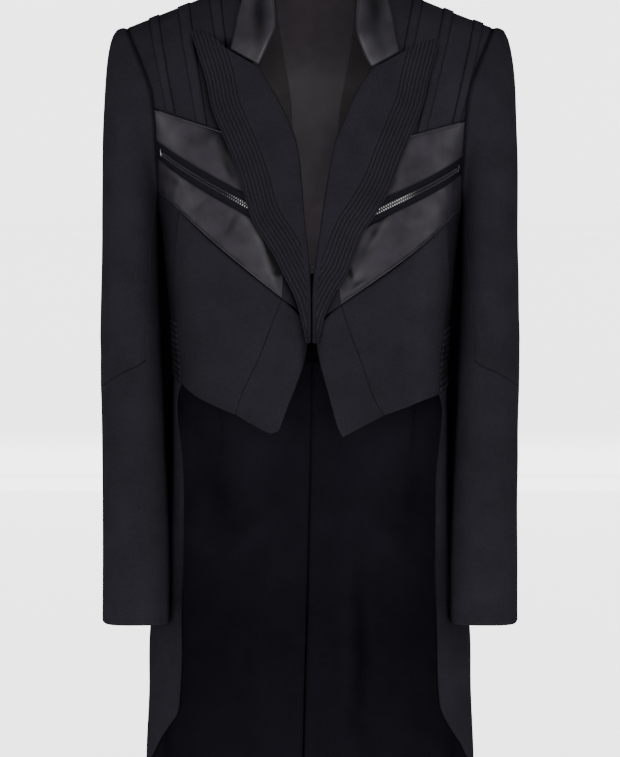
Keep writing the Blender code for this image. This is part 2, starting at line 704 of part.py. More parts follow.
def make_collar():
    """Collar with its stand, its fold and its fall, from one gorge round the neck to the other."""
    stations = []
    for side in (RIGHT, LEFT):
        rows = (*COLLAR_FRONT[side], *COLLAR_BACK)
        half = [[Vector((p[0] * SIGN[side], p[1], p[2])) for p in row] for row in rows]
        stations += half if side == RIGHT else half[-2::-1]
    fine = []
    for i in range(len(stations) - 1):
        for k in range(2):
            fine.append([curve_point([row[c] for row in stations], i, k / 2) for c in range(3)])
    fine.append(stations[-1])
    points = []
    for fold, edge, seam in fine:
        up = (fold - (edge + seam) / 2).normalized()
        over = (edge - seam) - up * (edge - seam).dot(up)
        over.normalize()
        centre = fold - up * COLLAR_FOLD_RADIUS
        row = [seam, seam.lerp(centre - over * COLLAR_FOLD_RADIUS, 0.5)]
        for k in range(5):
            swing = math.pi * (k / 4 - 0.5)
            row.append(centre + (up * math.cos(swing) + over * math.sin(swing)) * COLLAR_FOLD_RADIUS)
        last = row[-1]
        row += [*(last.lerp(edge, share) + over * swell for share, swell in COLLAR_FALL), edge]
        points.append(row)
    normals = grid_normals(points)
    inset(points, normals, SEAM_GAP / 2)
    half = COLLAR_WALL / 2
    wall_from("collar", moved(points, normals, half), moved(points, normals, -half), "satin", LEFT)


def curve_point(points, i, t):
    p0, p1 = points[max(i - 1, 0)], points[i]
    p2, p3 = points[i + 1], points[min(i + 2, len(points) - 1)]
    return (p1 * 2 + (p2 - p0) * t + (p0 * 2 - p1 * 5 + p2 * 4 - p3) * t * t
            + (p1 * 3 - p0 - p2 * 3 + p3) * t ** 3) / 2


def make_lining():
    """Centre back lining and the darker lining on each side of it."""
    edges = {side: [back_place(*point) for point in LINING_CENTRE[side]] for side in (RIGHT, LEFT)}
    right_edge = spaced(body_point, [(360 - angle, height) for angle, height in edges[RIGHT]], 8)
    left_edge = spaced(body_point, edges[LEFT], 8)
    panel("lining_centre", LEFT, (
        spaced(body_point, (right_edge[0], left_edge[0]), 5),
        spaced(body_point, (right_edge[-1], left_edge[-1]), 5),
        right_edge, left_edge), "lining", LINING_WALL, -LINING_DEPTH)
    for side in (RIGHT, LEFT):
        top, foot = LINING_CENTRE[side][0], LINING_CENTRE[side][-1]
        panel(f"{side}_lining", side, (
            back_line((top, LINING_SIDE[0]), 4), back_line((foot, LINING_SIDE[-1]), 4),
            spaced(body_point, edges[side], 8), back_line(LINING_SIDE, 8)),
            "lining_dark", LINING_WALL, -LINING_DEPTH)


def sleeve_ring(angle, height):
    """Point of the sleeve's ring at a height, from an angle that starts outside and turns backwards."""
    columns = range(1, len(SLEEVE_RINGS[0]))
    inner, outer, middle, half_depth, turned = (between(SLEEVE_RINGS, height, column) for column in columns)
    turn = math.radians(angle)
    power = 2 / SLEEVE_SQUARENESS
    half_width = (outer - inner) / 2
    across = math.copysign(abs(math.cos(turn)) ** power, math.cos(turn)) * half_width
    depth = math.copysign(abs(math.sin(turn)) ** power, math.sin(turn)) * half_depth
    lean = math.tan(math.radians(turned)) * max(depth, 0)
    return Vector(((inner + outer) / 2 + across - lean * (1 - math.cos(turn)) / 2, middle + depth, height))


def sleeve_angle(place):
    """Angle of the sleeve that starts at a place on the armhole."""
    angle, height = place
    front = angle <= 90
    heights = [(point.z, k) for k, point in enumerate(ARMHOLE_LINES["front" if front else "back"])]
    share = between(heights, height) / (len(heights) - 1)
    return -180 * share if front else 180 * share


def armhole_point(angle):
    """Point of the armhole for a sleeve angle, from the shoulder tip down to the armpit."""
    share = abs(angle) / 180
    table = ARMHOLE_LINES["front" if angle < 0 else "back"]
    at = share * (len(table) - 1)
    i = min(int(at), len(table) - 2)
    return table[i].lerp(table[i + 1], at - i) + Vector((SLEEVE_SEAM_GAP, 0, 0))


def sleeve_point(angle, level):
    """Point of the sleeve: its cap down to the first ring for 0 to -1, then a tenth of a metre for each 1."""
    angle = (angle + 180) % 360 - 180
    if level <= -1:
        return sleeve_ring(angle, SLEEVE_RING_TOP + (level + 1) * 100)
    top, foot = armhole_point(angle), sleeve_ring(angle, SLEEVE_RING_TOP)
    spread = (1 - (1 + min(level, 0)) ** 3) ** 0.25
    return Vector((top.x + (foot.x - top.x) * spread, top.y + (foot.y - top.y) * spread,
                   top.z - (foot.z - top.z) * level))


def sleeve_line(points, count):
    return spaced(sleeve_point, points, count)


def sleeve_seam(top, elbow, rows):
    """Seam from the armhole to the elbow, through the rows of the cap and then evenly."""
    last = SLEEVE_CAP_ROWS[-1]
    levels = [*SLEEVE_CAP_ROWS, *(last + (elbow[1] - last) * k / rows for k in range(1, rows + 1))]
    return [(top + (elbow[0] - top) * ease(level / elbow[1]), level) for level in levels]


def make_sleeve(side):
    """Sleeve in three pieces: over the upper arm, over the forearm and under the arm."""
    cuff = (CUFF_HEIGHT - SLEEVE_RING_TOP) / 100 - 1
    armhole = armhole_edges(side)
    fronts = joined(*(armhole[name] for name in ("yoke", "satin_upper", "zip_tape", "satin_lower")))
    over = [(sleeve_angle(place), 0) for place in joined(fronts[::-1], armhole["back"])]
    sides = joined(armhole["side_back"][::-1], armhole["side_front"][::-1])
    under = [(sleeve_angle(place) % 360, 0) for place in sides]
    front_upper = sleeve_seam(over[0][0], ELBOW_SEAM[0], 4)
    back_upper = sleeve_seam(over[-1][0], ELBOW_SEAM[-1], 4)
    front_lower = sleeve_line(SLEEVE_FRONT_SEAM, 7)
    back_lower = sleeve_line(((SLEEVE_BACK_SEAM, ELBOW_SEAM[-1][1]), (SLEEVE_BACK_SEAM, cuff)), 7)
    elbow = sleeve_line(ELBOW_SEAM, len(over) - 1)
    hem = ((SLEEVE_FRONT_SEAM[-1][0], cuff), (0, cuff), (SLEEVE_BACK_SEAM, cuff))
    panel(f"{side}_sleeve_upper", side, (
        over, elbow, front_upper, back_upper), surface=sleeve_point)
    panel(f"{side}_sleeve_lower", side, (
        elbow, sleeve_line(hem, len(over) - 1), front_lower, back_lower), surface=sleeve_point)
    front_whole = [(angle + 360, level) for angle, level in joined(front_upper, front_lower)]
    under_hem = ((SLEEVE_BACK_SEAM, cuff), (SLEEVE_FRONT_SEAM[-1][0] + 360, cuff))
    panel(f"{side}_sleeve_under", side, (
        under, sleeve_line(under_hem, len(under) - 1), joined(back_upper, back_lower), front_whole),
        surface=sleeve_point)


def make_zip(side):
    """Rail of metal teeth along the zip tape, and the stop at its outer end."""
    top, bottom = chest_line(ZIP_TOP[side]), chest_line(ZIP_BOTTOM[side])
    upper, lower = front_line(top, 40), front_line(bottom, 40)
    edge_limit = across_at(LAPEL_EDGE[side], ZIP_CROSSING_HEIGHT) - UNDER_LAPEL
    middle = [((a[0] + b[0]) / 2, (a[1] + b[1]) / 2) for a, b in zip(upper, lower)]
    shown = [place for place in middle if edge_limit < body_point(*place).x < ZIP_CHAIN_OUTER]
    points = spaced(body_point, [shown[0], shown[len(shown) // 2], shown[-1]], 10)
    outer = []
    for place in points:
        here, normal = body_point(*place), normal_of(body_point, *place)
        along = (body_point(*points[-1]) - body_point(*points[0])).normalized()
        upwards = normal.cross(along).normalized() * ZIP_CHAIN_HALF_WIDTH
        lift = normal * (ON_TOP - ZIP_TAPE_DEPTH + ZIP_CHAIN_HEIGHT)
        outer.append(([here + upwards + lift, here - upwards + lift], [normal, normal]))
    grid, normals = [pair[0] for pair in outer], [pair[1] for pair in outer]
    wall_from(f"{side}_zip_chain", grid, moved(grid, normals, -ZIP_CHAIN_HEIGHT), "zip_metal", side)
    stop = min(middle, key=lambda place: abs(body_point(*place).x - ZIP_STOP_ACROSS))
    here, normal = body_point(*stop), normal_of(body_point, *stop)
    bpy.ops.mesh.primitive_cube_add(size=1)
    made = bpy.context.active_object
    made.name = made.data.name = f"{side}_zip_stop"
    made.scale = [length * MM for length in ZIP_STOP]
    centre = here + normal * (ON_TOP - ZIP_TAPE_DEPTH + ZIP_STOP[2] / 2)
    made.location = Vector((centre.x * SIGN[side], centre.y, centre.z)) * MM
    made.rotation_mode = "QUATERNION"
    made.rotation_quaternion = Vector((normal.x * SIGN[side], normal.y, normal.z)).to_track_quat("Z", "Y")
    made.data.materials.append(material("zip_metal"))
    for old in list(made.users_collection):
        old.objects.unlink(made)
    bpy.data.collections["tailcoat_blazer"].objects.link(made)


def wire(name, points, radius, look, side, resolution=1, cyclic=False):
    """Round cord or wire through points, as a curve with a bevel."""
    curve = bpy.data.curves.new(name, "CURVE")
    curve.dimensions = "3D"
    curve.bevel_depth = radius * MM
    curve.bevel_resolution = resolution
    curve.use_fill_caps = not cyclic
    spline = curve.splines.new("POLY")
    spline.points.add(len(points) - 1)
    spline.use_cyclic_u = cyclic
    for target, point in zip(spline.points, points):
        target.co = (point.x * SIGN[side] * MM, point.y * MM, point.z * MM, 1)
    return place_object(name, curve, look)


def make_piping(side):
    """Thin piping along the satin's top and bottom edges, up to just under the lapel."""
    for name, row, count in (("top", SATIN_TOP, 12), ("bottom", SATIN_BOTTOM, 16)):
        points = chest_line(row[side])
        places = front_line(points, 60)
        shown = []
        for place in places:
            limit = max(across_at(LAPEL_EDGE[side], place[1]) - UNDER_LAPEL, PIPING_LIMITS[0])
            if limit < body_point(*place).x < PIPING_LIMITS[1]:
                shown.append(place)
        route = [shown[round(k * (len(shown) - 1) / count)] for k in range(count + 1)]
        lift = PIPING_RADIUS + ON_TOP
        line = [body_point(*place) + normal_of(body_point, *place) * lift for place in route]
        wire(f"{side}_piping_{name}", line, PIPING_RADIUS, "satin", side)


def make_hook():
    """Wire hook and eye that hold the fronts together at the foot of the neckline."""
    middle = body_point(*front_place(HOOK_ACROSS, HOOK_HEIGHT)) + Vector((0, HOOK_SET_BACK, 0))
    turns = [math.tau * k / 12 for k in range(12)]
    ring = [middle + Vector((math.cos(turn), 0, math.sin(turn))) * EYE_RADIUS for turn in turns]
    wire("front_eye", ring, HOOK_WIRE, "hook_metal", LEFT, cyclic=True)
    line = [middle + Vector((across, depth, 0)) for across, depth in HOOK_PATH]
    wire("front_hook", line, HOOK_WIRE, "hook_metal", LEFT)


ARMHOLE_LINES = {
    "front": [body_point(*place) for place in armhole_front_line(ARMHOLE_FRONT[0][1], ARMPIT_HEIGHT, 60)],
    "back": [body_point(*place) for place in armhole_back_line(ARMHOLE_BACK[0][1], ARMPIT_HEIGHT, 60)],
}

bpy.context.scene.collection.children.link(bpy.data.collections.new("tailcoat_blazer"))
for wearer_side in (RIGHT, LEFT):
    make_fronts(wearer_side)
    make_side(wearer_side)
    make_back(wearer_side)
    make_tail(wearer_side)
    make_bands(wearer_side)
    make_lapel(wearer_side)
    make_sleeve(wearer_side)
    make_zip(wearer_side)
    make_piping(wearer_side)
make_collar()
make_lining()
make_hook()
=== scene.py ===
import math

import bpy
import numpy as np
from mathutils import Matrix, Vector


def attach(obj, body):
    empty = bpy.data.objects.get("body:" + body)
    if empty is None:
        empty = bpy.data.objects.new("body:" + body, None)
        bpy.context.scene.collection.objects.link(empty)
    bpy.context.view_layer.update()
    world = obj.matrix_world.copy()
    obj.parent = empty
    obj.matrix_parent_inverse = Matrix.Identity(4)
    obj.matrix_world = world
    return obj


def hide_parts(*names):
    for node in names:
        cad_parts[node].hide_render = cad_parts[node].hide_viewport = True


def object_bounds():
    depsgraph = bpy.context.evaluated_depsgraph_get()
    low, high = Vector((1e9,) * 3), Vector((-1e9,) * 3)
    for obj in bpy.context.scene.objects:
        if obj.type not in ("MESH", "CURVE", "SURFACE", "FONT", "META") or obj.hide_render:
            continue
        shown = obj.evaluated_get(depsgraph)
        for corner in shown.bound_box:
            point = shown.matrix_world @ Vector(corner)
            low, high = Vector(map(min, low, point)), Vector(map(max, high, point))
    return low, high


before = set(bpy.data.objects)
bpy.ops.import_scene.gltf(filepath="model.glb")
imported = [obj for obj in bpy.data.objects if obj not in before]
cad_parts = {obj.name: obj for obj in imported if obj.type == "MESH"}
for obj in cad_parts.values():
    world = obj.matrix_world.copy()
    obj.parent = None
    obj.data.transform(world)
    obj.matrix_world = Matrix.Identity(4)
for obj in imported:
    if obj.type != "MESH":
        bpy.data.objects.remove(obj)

cad_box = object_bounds()

# The camera looks level at the middle of the jacket from three and a half metres, as in the photograph.
CAMERA_PLACE = (0.0, -3.5, -0.412)
FRAME_WIDTH = 0.648
SENSOR = 36.0
camera = bpy.data.objects.new("camera", bpy.data.cameras.new("camera"))
camera.location = CAMERA_PLACE
camera.rotation_euler = (math.radians(90), 0, 0)
camera.data.sensor_fit = "HORIZONTAL"
camera.data.sensor_width = SENSOR
camera.data.lens = SENSOR * -CAMERA_PLACE[1] / FRAME_WIDTH
camera.data.clip_end = 50
bpy.context.scene.collection.objects.link(camera)
bpy.context.scene.camera = camera


# Black worsted wool, the cloth of most of the jacket: a fine twill with a dry surface and a slight mottle.
# Lengths over the cloth are metres in its own map, so the weave has its real size.
class Wire:
    """A socket in a material. Sums and products with it add their Math nodes."""

    def __init__(self, tree, socket):
        self.tree, self.socket = tree, socket

    def node(self, kind, settings=None, inputs=None, output=0):
        made = self.tree.nodes.new(kind)
        for key, value in (settings or {}).items():
            setattr(made, key, value)
        for key, value in (inputs or {}).items():
            if isinstance(value, Wire):
                self.tree.links.new(value.socket, made.inputs[key])
            else:
                made.inputs[key].default_value = value
        return Wire(self.tree, made.outputs[output])

    def math(self, operation, a, b=0.0):
        return self.node("ShaderNodeMath", {"operation": operation}, {0: a, 1: b})

    def __add__(self, other):
        return self.math("ADD", self, other)

    def __radd__(self, other):
        return self.math("ADD", other, self)

    def __sub__(self, other):
        return self.math("SUBTRACT", self, other)

    def __rsub__(self, other):
        return self.math("SUBTRACT", other, self)

    def __mul__(self, other):
        return self.math("MULTIPLY", self, other)

    def __rmul__(self, other):
        return self.math("MULTIPLY", other, self)

    def sine(self):
        return self.math("SINE", self)

    def step(self, low, high):
        """0 below low and 1 above high, with a smooth rise."""
        return self.node("ShaderNodeMapRange", {"interpolation_type": "SMOOTHSTEP"},
                         {"Value": self, "From Min": low, "From Max": high})

    def noise(self, scale, detail=2.0):
        return self.node("ShaderNodeTexNoise", {"noise_dimensions": "3D"},
                         {"Vector": self, "Scale": scale, "Detail": detail})

    def split(self, axis):
        return self.node("ShaderNodeSeparateXYZ", None, {"Vector": self}, axis)

    def value(self, name):
        """A number that a piece's own mesh carries."""
        return self.node("ShaderNodeAttribute", {"attribute_name": name}, None, "Fac")

    def dimmed(self, amount):
        """A colour made darker: 0 leaves it, 1 gives black, and below 0 it is lighter."""
        return self.node("ShaderNodeMix", {"data_type": "RGBA", "clamp_factor": False},
                         {"Factor": amount, 6: self, 7: (0, 0, 0, 1)}, 2)

    def colours(self, dark, light):
        return self.node("ShaderNodeMix", {"data_type": "RGBA"},
                         {"Factor": self, 6: (*dark, 1), 7: (*light, 1)}, 2)


def finish(name, roughness, specular, metallic=0.0, sheen=0.0):
    """A new material, its shader and a first wire: the place on the object."""
    material = bpy.data.materials.new(name)
    material.use_nodes = True
    shader = material.node_tree.nodes["Principled BSDF"]
    shader.inputs["Roughness"].default_value = roughness
    shader.inputs["Specular IOR Level"].default_value = specular
    shader.inputs["Metallic"].default_value = metallic
    shader.inputs["Sheen Weight"].default_value = sheen
    shader.inputs["Sheen Roughness"].default_value = 0.45
    place = Wire(material.node_tree, material.node_tree.nodes.new("ShaderNodeTexCoord").outputs["Object"])
    return material, shader, place


def drive(shader, socket, wire):
    wire.tree.links.new(wire.socket, shader.inputs[socket])


def relief(shader, height, distance, strength=1.0):
    """Bump of a height, in metres of depth."""
    bump = height.node("ShaderNodeBump", None, {"Height": height, "Distance": distance, "Strength": strength})
    drive(shader, "Normal", bump)


TWILL_PITCH = 0.0007
TWILL_DEPTH = 0.00006


def weave(place, pitch, lean=1.0):
    """Ribs of a weave over the cloth's own map, and its two directions."""
    cloth = place.node("ShaderNodeUVMap", {"uv_map": "cloth"})
    across, down = cloth.split(0), cloth.split(1)
    turn = math.tau / pitch
    return (across * turn + down * (turn * lean)).sine() * 0.5 + 0.5, across, down


def wool_finish(name, dark, light, specular, sheen):
    material, shader, place = finish(name, 0.82, specular, sheen=sheen)
    ribs, across, down = weave(place, TWILL_PITCH)
    mottle = place.noise(900.0, 3.0)
    cloudy = place.noise(28.0, 3.0)
    fibres = mottle * 0.6 + cloudy * 0.25 + ribs * 0.15
    # The colour is darkened by the painted shade that each piece carries as its shadow value; below 0 it is painted
    # light.
    drive(shader, "Base Color", fibres.step(0.25, 0.75).colours(dark, light).dimmed(place.value("shadow")))
    drive(shader, "Roughness", mottle * 0.14 + 0.75)
    relief(shader, ribs * 0.5 + mottle * 0.9, TWILL_DEPTH, 0.6)
    return material


wool = wool_finish("wool", (0.0098, 0.0090, 0.0120), (0.0222, 0.0204, 0.0264), 0.0, 0.0)
wool_inside = wool_finish("wool_inside", (0.0046, 0.0042, 0.0062), (0.0098, 0.0089, 0.0128), 0.0, 0.0)


# Black satin of the chest panels and the collar: long floats that give a soft gloss across the cloth,
# clouded a little where it was pressed. Painted shade on a piece darkens its colour and takes its gloss away.
# The lining is a duller satin, with painted shade in its middle stretch down to the chest and painted light
# that makes it paler at its foot.
def satin_finish(name, dark, light, gloss, gloss_roughness, clouds, middle=1.0, low=1.0):
    material, shader, place = finish(name, 0.6, 0.05)
    ribs, across, down = weave(place, 0.0005, 0.15)
    pressed = place.noise(60.0, 2.0)
    height, lit = place.split(2), 1.0 - place.value("shadow")
    # Painted shade and painted light by height: the colour is scaled by middle from just below the collar down to the
    # chest, and by low at the foot.
    painted_light_by_height = 1.0 + (middle - 1.0) * (1.0 - height.step(-0.12, -0.03)) + (low - middle) * (1.0 - height.step(-0.28, -0.14))
    drive(shader, "Base Color", pressed.step(0.1, 0.9).colours(dark, light).dimmed(1.0 - lit * painted_light_by_height))
    drive(shader, "Roughness", pressed * 0.22 + 0.5)
    drive(shader, "Coat Weight", lit * (pressed * clouds + (gloss - clouds * 0.5)))
    shader.inputs["Coat Roughness"].default_value = gloss_roughness
    relief(shader, pressed * clouds + ribs * 0.06, 0.0006, 0.5)
    return material


satin = satin_finish("satin", (0.0140, 0.0120, 0.0166), (0.0280, 0.0244, 0.0326), 0.51, 0.42, 0.16)
lining = satin_finish("lining", (0.034, 0.0285, 0.0335), (0.046, 0.0385, 0.0455), 0.25, 0.5, 0.1, 0.9, 3.2)
lining_dark = satin_finish("lining_dark", (0.023, 0.0202, 0.0206), (0.033, 0.0290, 0.0290), 0.1, 0.5, 0.1, 1.0, 3.0)


# The form that fills the jacket out: level sections of the body, rounded over the shoulders to a ridge,
# and the soft folds of the tails. Millimetres and degrees, from the middle of the front round to the back.
RIGHT, LEFT = "right", "left"
SIGN = {RIGHT: -1, LEFT: 1}
NECK_HALF_WIDTH, SHOULDER_TIP_ACROSS, SHOULDER_SLOPE = 73, 190, 0.39
SHOULDER_TIP = (SHOULDER_TIP_ACROSS, SHOULDER_SLOPE * (NECK_HALF_WIDTH - SHOULDER_TIP_ACROSS))
FRONT_ROLL, BACK_ROLL, SQUARENESS = 95, 120, 0.88
ARMPIT_HEIGHT, WAIST_HEIGHT, HEM_HEIGHT = -245, -395, -879
BODY_SECTIONS = (
    (60, 262, 112, 100), (-10, 250, 112, 102), (-60, 231, 113, 105), (-120, 196, 118, 108), (-180, 170, 125, 108),
    (-245, 157, 126, 104), (-310, 150, 116, 94), (-360, 145.5, 104, 85), (-400, 143.5, 98, 80),
    (-450, 146.3, 98, 86), (-520, 150, 96, 98), (-600, 158.5, 90, 108), (-671, 167.5, 86, 114),
    (-740, 167.5, 84, 116), (-810, 168.5, 84, 118), (-900, 168, 84, 118),
)
TAIL_FOLDS = ((76, 16, -640, -860, 5), (104, 14, -560, -860, -7), (127, 13, -520, -860, 8),
              (150, 12, -500, -860, -8), (168, 10, -560, -860, 5))
TAIL_FOLD_RADIUS = 150


def between(rows, at, column=1):
    """Values of a column at places given in the first column, smoothly between the rows."""
    rows = np.array(sorted(rows), float)
    places, values = rows[:, 0], rows[:, column]
    slopes = np.gradient(values)
    slopes[1:-1] = (values[2:] - values[:-2]) / (places[2:] - places[:-2])
    slopes[0] = (values[1] - values[0]) / (places[1] - places[0])
    slopes[-1] = (values[-1] - values[-2]) / (places[-1] - places[-2])
    at = np.clip(at, places[0], places[-1])
    i = np.clip(np.searchsorted(places, at, side="right") - 1, 0, len(places) - 2)
    span = places[i + 1] - places[i]
    t = (at - places[i]) / span
    ahead = t * t * (3 - 2 * t)
    return (values[i] * (1 - ahead) + values[i + 1] * ahead
            + t * (1 - t) ** 2 * span * slopes[i] + t * t * (t - 1) * span * slopes[i + 1])


def across_at(line, height):
    return between([(point[1], point[0]) for point in line], height)


def ease(t):
    t = np.clip(t, 0, 1)
    return t * t * (3 - 2 * t)


def shoulder_height(across):
    return SHOULDER_SLOPE * (NECK_HALF_WIDTH - np.abs(across))


def body_point(angle, height):
    """Points of the body for angles and heights, for a positive side."""
    angle, height = np.broadcast_arrays(np.asarray(angle, float), np.asarray(height, float))
    turn = np.radians(angle)
    across = between(BODY_SECTIONS, height, 1) * np.sin(turn)
    front = np.abs(angle) < 90
    depth = np.where(front, between(BODY_SECTIONS, height, 2), between(BODY_SECTIONS, height, 3))
    drop = (shoulder_height(across) - height) / np.where(front, FRONT_ROLL, BACK_ROLL)
    rise = np.sqrt(np.maximum(1 - (1 - np.clip(drop, 0, 1)) ** 2, 0))
    reach = depth * np.abs(np.cos(turn)) ** SQUARENESS * rise
    fold, turned = 0, np.minimum(angle, 360 - angle)
    for middle, spread, start, full, fold_depth in TAIL_FOLDS:
        fold = fold + fold_depth * ease((start - height) / (start - full)) * np.exp(-((turned - middle) / spread) ** 2)
    swell = 1 + fold / TAIL_FOLD_RADIUS
    return np.stack([across * swell, np.where(front, -reach, reach) * swell, height], -1)


def normals_of(surface, places):
    """Outward normals of a surface, from small steps along its two directions."""
    a, b = places[..., 0], places[..., 1]
    along = surface(a + 0.4, b) - surface(a - 0.4, b)
    down = surface(a, b - 0.01) - surface(a, b + 0.01)
    normal = np.cross(down, along)
    return normal / np.maximum(np.linalg.norm(normal, axis=-1, keepdims=True), 1e-9)


def front_place(across, height):
    half_width = between(BODY_SECTIONS, height, 1)
    return np.degrees(np.arcsin(np.clip(across / half_width, -1, 1))), height


def back_place(across, height):
    return 180 - front_place(across, height)[0], height


def through(points, steps=10):
    """Smooth curve through places, as a fine list."""
    points = np.array(points, float)
    if len(points) == 2:
        return points[0] + (points[1] - points[0]) * np.linspace(0, 1, steps + 1)[:, None]
    padded = np.vstack([points[:1], points, points[-1:]])
    t = np.linspace(0, 1, steps, endpoint=False)[:, None]
    fine = []
    for i in range(1, len(padded) - 2):
        p0, p1, p2, p3 = padded[i - 1:i + 3]
        fine.append((p1 * 2 + (p2 - p0) * t + (p0 * 2 - p1 * 5 + p2 * 4 - p3) * t * t
                     + (p1 * 3 - p0 - p2 * 3 + p3) * t ** 3) / 2)
    return np.vstack([*fine, points[-1:]])


class Edge:
    """An edge of a piece of cloth: smooth parts in a row on a surface, run by its length."""

    def __init__(self, surface, *parts):
        self.surface = surface
        self.fine, joints = through(parts[0]), []
        for part in parts[1:]:
            joints.append(len(self.fine) - 1)
            self.fine = np.vstack([self.fine, through(part)[1:]])
        points = surface(self.fine[:, 0], self.fine[:, 1])
        steps = np.linalg.norm(np.diff(points, axis=0), axis=1)
        self.length = steps.sum()
        self.run = np.concatenate([[0], np.cumsum(steps)]) / self.length
        self.joints = [self.run[joint] for joint in joints]

    def at(self, shares):
        return np.stack([np.interp(shares, self.run, self.fine[:, axis]) for axis in (0, 1)], -1)

    def turned(self):
        other = object.__new__(Edge)
        other.surface, other.fine, other.length = self.surface, self.fine[::-1], self.length
        other.run, other.joints = 1 - self.run[::-1], [1 - joint for joint in self.joints]
        return other


def front_edge(*parts):
    return Edge(body_point, *([front_place(*point) for point in part] for part in parts))


def back_edge(*parts):
    return Edge(body_point, *([back_place(*point) for point in part] for part in parts))


def waves(points, size, seed):
    """Smooth uneven waves from -1 to 1 over points, with humps of about a size."""
    luck = np.random.default_rng(seed)
    total = 0
    for _ in range(7):
        way = luck.normal(size=3)
        way *= luck.uniform(0.7, 1.5) * math.pi / (size * np.linalg.norm(way))
        total = total + np.sin(points @ way + luck.uniform(0, math.tau))
    return total / 3.2


def creased(rows, across, height, uneven=2.5):
    """Sum of soft troughs and ridges over a plane: place, length, width, turn and depth of each."""
    points = np.stack([across, height, np.zeros_like(across)], -1)
    across = across + uneven * waves(points, 26, 5)
    height = height + uneven * waves(points, 26, 6)
    total = np.zeros_like(across)
    for x, z, length, width, turn, depth in rows:
        cosine, sine = math.cos(math.radians(turn)), math.sin(math.radians(turn))
        run = ((across - x) * cosine + (height - z) * sine) / length
        off = (-(across - x) * sine + (height - z) * cosine) / width
        total += depth * np.exp(-run ** 2 - off ** 2)
    return total


def shares(length, joints, spacing):
    """Places along an edge: even, with its joints kept and finer steps beside both ends."""
    cuts = np.unique(np.round([0, *joints, 1], 5))
    found = [0.0]
    for start, end in zip(cuts, cuts[1:]):
        count = max(1, round((end - start) * length / spacing))
        found += list(start + (end - start) * np.arange(1, count + 1) / count)
    rim = np.array([0.35, 0.8, 1.5, 2.6]) / length
    found = np.unique(np.round(np.concatenate([found, rim, 1 - rim]), 6))
    found = found[(found >= 0) & (found <= 1)]
    kept = [found[0]]
    for share in found[1:]:
        if (share - kept[-1]) * length > 0.25:
            kept.append(share)
    kept[-1] = 1.0
    return np.array(kept)


def away_from(points, line):
    """Distance of each point from a line."""
    steps = np.linspace(0, len(line) - 1, 900)
    fine = np.stack([np.interp(steps, np.arange(len(line)), line[:, k]) for k in range(3)], -1)
    found = [np.sqrt(((block[:, None] - fine) ** 2).sum(-1)).min(1)
             for block in np.array_split(points.reshape(-1, 3), 40)]
    return np.concatenate(found).reshape(points.shape[:-1])


class Piece:
    """A piece of cloth on a surface, with its points, normals and the lengths from its four edges."""

    def __init__(self, side, edges, surface=body_point, spacing=3.0, out=0.0):
        top, bottom, first, last = edges
        self.side, self.surface = side, surface
        u = shares(max(top.length, bottom.length), [*top.joints, *bottom.joints], spacing)
        v = shares(max(first.length, last.length), [*first.joints, *last.joints], spacing)
        tops, bottoms, firsts, lasts = top.at(u), bottom.at(u), first.at(v), last.at(v)
        self.u, self.v = u, v
        a, b = u[None, :, None], v[:, None, None]
        corners = ((1 - a) * (1 - b) * tops[0] + a * (1 - b) * tops[-1]
                   + (1 - a) * b * bottoms[0] + a * b * bottoms[-1])
        self.places = ((1 - a) * firsts[:, None] + a * lasts[:, None]
                       + (1 - b) * tops[None] + b * bottoms[None] - corners)
        self.normals = normals_of(surface, self.places)
        self.points = surface(self.places[..., 0], self.places[..., 1])
        if callable(out):
            out = out(a[..., 0], b[..., 0])
        self.points = self.points + self.normals * np.broadcast_to(out, self.places.shape[:2])[..., None]
        self.measure()

    def measure(self):
        steps = np.linalg.norm(np.diff(self.points, axis=1), axis=-1)
        self.across = np.concatenate([np.zeros((len(steps), 1)), np.cumsum(steps, axis=1)], axis=1)
        steps = np.linalg.norm(np.diff(self.points, axis=0), axis=-1)
        self.down = np.concatenate([np.zeros((1, steps.shape[1])), np.cumsum(steps, axis=0)], axis=0)
        self.from_edges = {
            "first": self.across, "last": self.across[:, -1:] - self.across,
            "top": self.down, "bottom": self.down[-1:] - self.down,
        }
        self.from_rim = np.minimum.reduce(list(self.from_edges.values()))

    def moved(self, distance):
        return self.points + self.normals * np.broadcast_to(distance, self.points.shape[:2])[..., None]

    def line(self, edge, distance, low=0.0, high=1.0, lift=0.0):
        """Points and normals of a line on the cloth at a distance from one edge."""
        run, outer = self.from_edges[edge], self.moved(self.raised + lift)
        if edge in ("first", "last"):
            rows = range(len(run))
            keep = [j for j in rows if low <= self.v[j] <= high and run[j].max() > distance]
            picks = [(run[j], outer[j], self.normals[j]) for j in keep]
        else:
            columns = range(run.shape[1])
            keep = [i for i in columns if low <= self.u[i] <= high and run[:, i].max() > distance]
            picks = [(run[:, i], outer[:, i], self.normals[:, i]) for i in keep]
        points, normals = [], []
        for away, cloth, normal in picks:
            order = np.argsort(away)
            points.append([np.interp(distance, away[order], cloth[order, k]) for k in range(3)])
            normals.append([np.interp(distance, away[order], normal[order, k]) for k in range(3)])
        return np.array(points), np.array(normals)


def made_mesh(name, vertices, faces, side, uv=None, smooth=True):
    """Mesh in metres from millimetres, with its faces outwards."""
    vertices = np.asarray(vertices, float) * [SIGN[side] * 0.001, 0.001, 0.001]
    faces = np.asarray(faces)
    a, b, c = (vertices[faces[:, k]] for k in (0, 1, 2))
    volume = np.einsum("ij,ij->i", a, np.cross(b, c)).sum()
    if faces.shape[1] == 4:
        volume += np.einsum("ij,ij->i", a, np.cross(c, vertices[faces[:, 3]])).sum()
    if volume < 0:
        faces = faces[:, ::-1]
    mesh = bpy.data.meshes.new(name)
    mesh.from_pydata(vertices.tolist(), [], faces.tolist())
    if uv is not None:
        layer = mesh.uv_layers.new(name="cloth")
        corners = np.empty(len(mesh.loops), int)
        mesh.loops.foreach_get("vertex_index", corners)
        layer.data.foreach_set("uv", (np.asarray(uv)[corners] * 0.001).ravel())
    if smooth:
        mesh.shade_smooth()
    return mesh


